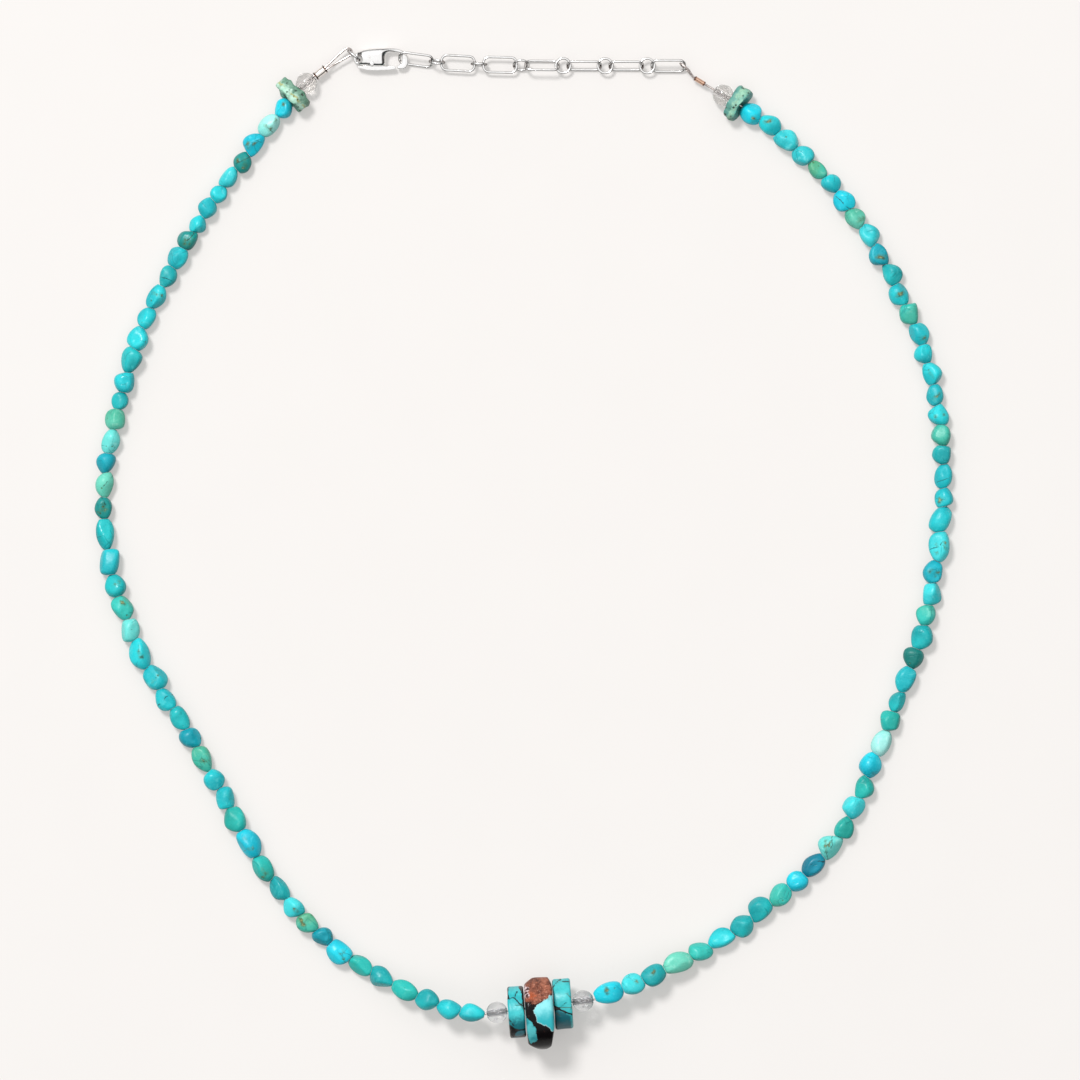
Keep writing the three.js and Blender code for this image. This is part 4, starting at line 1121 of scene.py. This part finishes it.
def make_crimp(side, length, flare, flatness, finish):
    """Open crimp tube with rolled rims."""
    end = END_WIRES[side]
    outer, inner, half = CRIMP_OUTER, CRIMP_INNER, length / 2
    rows = [(-half, inner), (-half, outer + flare), (-half + 0.12, outer + flare), (-half + 0.3, outer)]
    rows += [(along, outer) for along in np.linspace(-half + 0.5, half - 0.5, 6)]
    rows += [(half - 0.3, outer), (half - 0.12, outer + flare), (half, outer + flare), (half, inner)]
    rows += [(along, inner) for along in np.linspace(half, -half, 6)[1:-1]]
    points = turned_rows(rows, CRIMP_SIDES)
    points[..., 1] *= flatness
    faces = grid_faces(len(rows), CRIMP_SIDES, wrap_rows=True)
    place = place_matrix(end["crimp"], yaw_of(end["quartz"], end["crimp"]))
    points = points.reshape(-1, 3)
    attributes = {"rim": half - np.abs(points[:, 0])}
    name = f"crimp_{side}"
    mesh_piece(name, moved(points, place), faces, finish, name, 40, attributes)


# Wires and chain

WIRE_SIDES = 14
LINK_SIDES = 20

# How far each strand in a crimp lies from the crimp's middle
STRAND_SHIFT = 0.225


def tube(centreline, radius, sides, closed):
    """A round wire along points: its rings keep the least twist."""
    centreline = np.asarray(centreline, float)
    if closed:
        tangents = np.roll(centreline, -1, 0) - np.roll(centreline, 1, 0)
    else:
        tangents = np.gradient(centreline, axis=0)
    tangents /= np.linalg.norm(tangents, axis=1, keepdims=True)
    normal = np.cross(tangents[0], (0.0, 0.0, 1.0))
    if np.linalg.norm(normal) < 0.1:
        normal = np.cross(tangents[0], (1.0, 0.0, 0.0))
    angle = round_angles(sides)
    rings = []
    for point, tangent in zip(centreline, tangents):
        normal = normal - tangent * (normal @ tangent)
        normal /= np.linalg.norm(normal)
        side = np.cross(tangent, normal)
        ring = np.cos(angle)[:, None] * normal + np.sin(angle)[:, None] * side
        rings.append(point + radius * ring)
    faces = grid_faces(len(rings), sides, wrap_rows=closed)
    if not closed:
        faces.append(tuple(range(sides - 1, -1, -1)))
        faces.append(tuple(range((len(rings) - 1) * sides, len(rings) * sides)))
    return np.vstack(rings), faces


def inside_string(end):
    """Where the wire ends inside the first nugget of a string."""
    inward = end["string"] - end["chip"]
    return end["string"] + inward / np.linalg.norm(inward) * DRILL_DEPTH


# The wire's way round each loop, from the crimp and back to it
LEFT_LOOP = [
    (-33.9, 86.75, 1.55), (-32.2, 88.3, 1.5), (-31.5, 88.76, 1.5), (-30.9, 88.66, 1.5),
    (-30.62, 88.15, 1.5), (-31.0, 87.5, 1.5), (-31.8, 87.0, 1.5), (-33.3, 86.15, 1.55),
]
RIGHT_LOOP = [
    (29.25, 84.9, 2.1), (28.65, 85.45, 2.2), (28.0, 85.95, 1.95), (27.8, 86.1, 1.4), (27.95, 85.9, 0.85),
    (28.55, 85.35, 0.58), (29.15, 84.8, 0.72),
]


def end_wire(side, loop, stacked, past_crimp, quartz_shift):
    """The wire of one end: from the first nugget, through the crimp, round the loop and back. Its two
    strands lie above each other where they are stacked, and otherwise side by side."""
    end = END_WIRES[side]
    along = end["crimp"] - end["quartz"]
    along[2] = 0
    along /= np.linalg.norm(along)
    aside = (np.array([0, 0, 1]) if stacked else np.array([-along[1], along[0], 0])) * STRAND_SHIFT
    crimp_start = end["crimp"] - along * 1.1
    crimp_end = end["crimp"] + along * past_crimp
    inside = inside_string(end)
    points = [
        inside + (end["string"] - inside) * 0.2, end["string"], end["chip"],
        end["quartz"] + aside * quartz_shift, crimp_start + aside, crimp_end + aside,
        *[np.array(place) for place in loop], crimp_end - aside, crimp_start - aside,
    ]
    centreline = catmull_rom(points, 9)
    points, faces = tube(centreline, WIRE_RADIUS, WIRE_SIDES, False)
    mesh_piece(f"wire_{side}", points, faces, WIRE, f"wire_{side}", 60)


def centre_wire():
    """The wire through the discs and the two quartz beads, into the nuggets beside them."""
    distances = np.linspace(-REACH_LEFT - DRILL_DEPTH + 0.4, REACH_RIGHT + DRILL_DEPTH - 0.4, 30)
    points, faces = tube([along_centre(distance) for distance in distances], WIRE_RADIUS, WIRE_SIDES, False)
    mesh_piece("wire_centre", points, faces, WIRE, "wire_centre", 60)


# The roll of each link about the chain's line, in degrees. Oblong and round links take turns.
LINK_ROLLS = [45, 105, 10, 88, 4, 50, -51, 0, 60, 0, 60, 0, 46]


def chain_point(distance, spacing):
    """The chain's line over the surface, as in the solid model."""
    drop = CHAIN_DROP * (1 - math.exp(-distance / spacing / CHAIN_DROP_LINKS))
    return CHAIN_START[0] + distance, CHAIN_START[1] - drop


def oblong_centreline():
    """The middle of the wire of an oblong link with rounded corners."""
    half_length = OBLONG_LENGTH / 2 - LINK_WIRE_RADIUS - OBLONG_CORNER
    half_width = OBLONG_WIDTH / 2 - LINK_WIRE_RADIUS - OBLONG_CORNER
    rows = []
    for quarter, (sign_x, sign_y) in enumerate([(1, 1), (-1, 1), (-1, -1), (1, -1)]):
        for angle in np.linspace(0, math.pi / 2, 10) + quarter * math.pi / 2:
            rows.append((
                sign_x * half_length + OBLONG_CORNER * math.cos(angle),
                sign_y * half_width + OBLONG_CORNER * math.sin(angle), 0.0,
            ))
    return np.array(rows)


def round_centreline(radius, count=44):
    """The middle of the wire of a round link or ring."""
    angle = round_angles(count)
    return np.stack([radius * np.cos(angle), radius * np.sin(angle), np.zeros(count)], -1)


def make_chain():
    """The extender chain, from the clasp to the right wire loop."""
    spacing = OBLONG_LENGTH / 2 + ROUND_LINK_DIAMETER / 2 - 4 * LINK_WIRE_RADIUS - LINK_GAP
    for index, roll in enumerate(LINK_ROLLS):
        if index % 2:
            centreline = round_centreline(ROUND_LINK_DIAMETER / 2 - LINK_WIRE_RADIUS)
        else:
            centreline = oblong_centreline()
        here = chain_point(index * spacing, spacing)
        before = chain_point((index - 0.5) * spacing, spacing)
        after = chain_point((index + 0.5) * spacing, spacing)
        level = (CHAIN_HEIGHT + CLASP_THICKNESS / 2) / 2 if index == 0 else CHAIN_HEIGHT
        place = place_matrix((*here, level), yaw_of(before, after))
        place = place @ Matrix.Rotation(math.radians(roll), 4, "X")
        points, faces = tube(centreline, LINK_WIRE_RADIUS, LINK_SIDES, True)
        name = f"link_{index + 1:02d}"
        flank = {"flank": flank_of(centreline, points, place)}
        mesh_piece(name, moved(points, place), faces, CHAIN_SILVER, name, 60, flank)


def flank_of(centreline, points, place):
    """0 where a round wire's surface faces up or down, 1 where it faces sideways. It places the painted
    dark reflection on the chain's flanks.
    """
    centres = np.repeat(np.asarray(centreline), LINK_SIDES, axis=0)
    outward = moved(points, place) - moved(centres, place)
    return 1 - np.abs(outward[:, 2]) / np.linalg.norm(outward, axis=1)


RING_PLACE = (-30.26, 87.5, 1.5)
RING_YAW = math.radians(-39.5)
RING_RADIUS = 1.27
RING_WIRE_RADIUS = 0.22


def make_ring():
    """The jump ring, standing on edge."""
    place = place_matrix(RING_PLACE, RING_YAW) @ Matrix.Rotation(math.pi / 2, 4, "X")
    centreline = round_centreline(RING_RADIUS)
    points, faces = tube(centreline, RING_WIRE_RADIUS, LINK_SIDES, True)
    flank = {"flank": flank_of(centreline, points, place)}
    mesh_piece("clasp_ring", moved(points, place), faces, CHAIN_SILVER, "clasp_ring", 60, flank)


# Clasp

# The clasp body's outline from above, from its tail eye round the hook and the window
CLASP_OUTLINE = [
    (0.25, -1.0), (-0.25, -0.15), (0.0, 0.75), (0.75, 1.35), (2.2, 1.75), (4.4, 1.93), (6.4, 1.93),
    (8.1, 1.65), (9.15, 0.95), (9.5, -0.1), (9.4, -1.1), (8.9, -1.7), (8.0, -1.85), (7.5, -1.6),
    (7.65, -1.2), (8.2, -0.95), (8.36, -0.4), (8.36, 0.4), (8.05, 1.0), (7.2, 1.2), (6.0, 1.15),
    (5.55, 0.7), (5.5, -0.1), (5.5, -0.9), (5.2, -1.3), (3.6, -1.38), (1.8, -1.2),
]

# The upper side reaches its full height this far in from the edge, and has this share of it at the edge
DOME_REACH = 1.25
DOME_EDGE = 0.3


def domed(points):
    """The clasp body's upper side swells from its edge to its middle, as on a stamped clasp."""
    outline = catmull_rom(CLASP_OUTLINE, 8, closed=True)
    local = points - CLASP_PLACE
    inside = np.maximum(-outline_distance(local, outline), 0)
    swell = np.sqrt(1 - (1 - np.minimum(inside / DOME_REACH, 1)) ** 2)
    up = local[:, 2] - CLASP_THICKNESS / 2
    rise = np.where(up > 0, DOME_EDGE + (1 - DOME_EDGE) * swell, 1.0)
    points = points.copy()
    points[:, 2] = CLASP_THICKNESS / 2 + up * rise
    return points


def cast_piece(name, node, voxel, rounds, body, shape=None):
    """A cast metal piece: the solid's form with its edges melted round, as polished castings have."""
    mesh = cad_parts[node].data.copy()
    mesh.name = name
    source = bpy.data.objects.new(name, mesh)
    bpy.context.scene.collection.objects.link(source)
    remesh = source.modifiers.new("fill", "REMESH")
    remesh.mode = "VOXEL"
    remesh.voxel_size = voxel * MM
    remesh.adaptivity = 0.0
    smooth = source.modifiers.new("melt", "SMOOTH")
    smooth.factor = 0.5
    smooth.iterations = rounds
    depsgraph = bpy.context.evaluated_depsgraph_get()
    result = bpy.data.meshes.new_from_object(source.evaluated_get(depsgraph))
    bpy.data.objects.remove(source)
    result.materials.clear()
    result.materials.append(SILVER)
    if shape:
        places = np.zeros(len(result.vertices) * 3)
        result.vertices.foreach_get("co", places)
        result.vertices.foreach_set("co", (shape(places.reshape(-1, 3) / MM) * MM).ravel())
    dress(bpy.data.objects.new(name, result), node, 80, body)


# The rivet's head as (height, radius), and how far its foot is sunk into the clasp
RIVET_PROFILE = [(0.0, 0.36), (0.02, 0.34), (0.045, 0.26), (0.06, 0.15), (0.065, 0.02)]
RIVET_SINK = 0.03
RIVET_SIDES = 32


def make_rivet():
    """The pin's peened head on the clasp's upper face."""
    angle = round_angles(RIVET_SIDES)
    rings = []
    for up, radius in RIVET_PROFILE:
        level = np.full(RIVET_SIDES, CLASP_THICKNESS - RIVET_SINK + up)
        rings.append(np.stack([radius * np.cos(angle), radius * np.sin(angle), level], -1))
    points = np.vstack(rings) + CLASP_PLACE + np.array([PIVOT[0], PIVOT[1], 0])
    faces = grid_faces(len(rings), RIVET_SIDES)
    faces.append(tuple(range((len(rings) - 1) * RIVET_SIDES, len(rings) * RIVET_SIDES)))
    faces.append(tuple(range(RIVET_SIDES - 1, -1, -1)))
    mesh_piece("clasp_rivet", points, faces, SILVER, None, 60)


# Stage, in metres

CAMERA_PLACE = (0.00285, 0.00134, 1.602)
CAMERA_LENS = 300
FLOOR_HALF = 3.0
FLOOR_GLOW = 0.37
KEY_PLACE = Vector((-0.84, 1.35, 2.54))
KEY_SIZE = 0.75
KEY_POWER = 105.0

# The way the bright half of the sky faces: up, and a little to the upper left. Its light grows from
# the first level to the second as a direction turns from the first share of that way to the second.
SKY_AXIS = (-0.11, 0.18, 0.977)
SKY_SHARES = (0.28, 0.66)
SKY_LEVELS = (0.02, 1.02)


def make_camera(scene):
    """A long lens straight above the necklace."""
    camera = bpy.data.objects.new("camera", bpy.data.cameras.new("camera"))
    camera.data.sensor_width = 36
    camera.data.lens = CAMERA_LENS
    camera.data.clip_start = 0.01
    camera.location = CAMERA_PLACE
    scene.collection.objects.link(camera)
    scene.camera = camera


def make_floor(scene):
    """A plain pale floor, lit partly by its own glow so that shadows stay soft."""
    mesh = bpy.data.meshes.new("floor")
    corners = [(-1, -1), (1, -1), (1, 1), (-1, 1)]
    mesh.from_pydata([(x * FLOOR_HALF, y * FLOOR_HALF, 0) for x, y in corners], [], [(0, 1, 2, 3)])
    paper = Finish("floor")
    paper.set("Base Color", paper.mix(paper.noise(60, 3.0), linear(155, 152, 150), linear(157, 154, 152)))
    paper.set("Roughness", 0.9)
    paper.set("Specular IOR Level", 0.0)
    paper.set("Emission Color", linear(255, 253, 250))
    paper.set("Emission Strength", FLOOR_GLOW)
    mesh.materials.append(paper.material)
    floor = bpy.data.objects.new("floor", mesh)
    scene.collection.objects.link(floor)


def make_key_light(scene):
    """One soft light from the upper left."""
    key = bpy.data.lights.new("key", "AREA")
    key.shape = "DISK"
    key.size = KEY_SIZE
    key.energy = KEY_POWER
    light = bpy.data.objects.new("key", key)
    light.location = KEY_PLACE
    light.rotation_euler = (Vector((0, 0, 0)) - light.location).to_track_quat("-Z", "Y").to_euler()
    scene.collection.objects.link(light)


def make_sky(scene):
    """A studio that is bright above and dark towards the floor."""
    world = bpy.data.worlds.new("studio")
    world.use_nodes = True
    nodes, links = world.node_tree.nodes, world.node_tree.links
    place = nodes.new("ShaderNodeTexCoord")
    toward = nodes.new("ShaderNodeVectorMath")
    toward.operation = "DOT_PRODUCT"
    toward.inputs[1].default_value = SKY_AXIS
    ramp = nodes.new("ShaderNodeMapRange")
    ramp.interpolation_type = "SMOOTHSTEP"
    for title, (low, high) in (("From", SKY_SHARES), ("To", SKY_LEVELS)):
        ramp.inputs[f"{title} Min"].default_value = low
        ramp.inputs[f"{title} Max"].default_value = high
    links.new(place.outputs["Generated"], toward.inputs[0])
    links.new(toward.outputs["Value"], ramp.inputs["Value"])
    links.new(ramp.outputs["Result"], nodes["Background"].inputs["Color"])
    nodes["Background"].inputs["Strength"].default_value = 1.0
    scene.world = world


def make_stage():
    """Camera, floor and light."""
    scene = bpy.context.scene
    scene.view_settings.view_transform = "Standard"
    make_camera(scene)
    make_floor(scene)
    make_key_light(scene)
    make_sky(scene)


make_stage()
make_strings()
make_discs()
left_quartz_at = -DISC_MIDDLE_THICKNESS / 2 - 2 * BEAD_GAP - DISC_LEFT_THICKNESS - QUARTZ_RADIUS
right_quartz_at = DISC_MIDDLE_THICKNESS / 2 + 2 * BEAD_GAP + DISC_RIGHT_THICKNESS + QUARTZ_RADIUS
quartz_bead("quartz_centre_left", along_centre(left_quartz_at), CENTRE_STONES_YAW, QUARTZ_CENTRE)
quartz_bead("quartz_centre_right", along_centre(right_quartz_at), CENTRE_STONES_YAW, QUARTZ_CENTRE)
for side in ("left", "right"):
    end = END_WIRES[side]
    quartz_bead(f"quartz_end_{side}", end["quartz"], yaw_of(end["chip"], end["crimp"]), QUARTZ_END)
# Each chip's second colour is also the painted shade of one face, and its pale colour the painted light on
# its edge.
chip_left_finish = chip_finish(
    "chip_left", main=linear(132, 184, 160), second=linear(48, 100, 76), pale=linear(176, 206, 190),
    vein_colour=linear(150, 144, 70), vein_share=0.85,
)
chip_right_finish = chip_finish(
    "chip_right", main=linear(82, 156, 144), second=linear(54, 118, 112), pale=linear(146, 182, 150),
    vein_colour=linear(96, 100, 74), vein_share=0.3,
)
make_chip("left", thickness=1.9, lean=math.radians(8), finish=chip_left_finish, seed=31)
make_chip("right", thickness=1.5, lean=math.radians(14), finish=chip_right_finish, seed=32)
make_crimp("left", length=2.3, flare=0.1, flatness=1.0, finish=CRIMP_LEFT_SILVER)
make_crimp("right", length=2.1, flare=0.04, flatness=0.62, finish=CRIMP_RIGHT_COPPER)
end_wire("left", LEFT_LOOP, stacked=False, past_crimp=1.3, quartz_shift=0.4)
end_wire("right", RIGHT_LOOP, stacked=True, past_crimp=1.2, quartz_shift=0.0)
centre_wire()
make_chain()
make_ring()
cast_piece("clasp_body_cast", "clasp_body", voxel=0.07, rounds=8, body=BODY, shape=domed)
cast_piece("clasp_lever_cast", "clasp_lever", voxel=0.06, rounds=5, body=LEVER_BODY)
make_rivet()
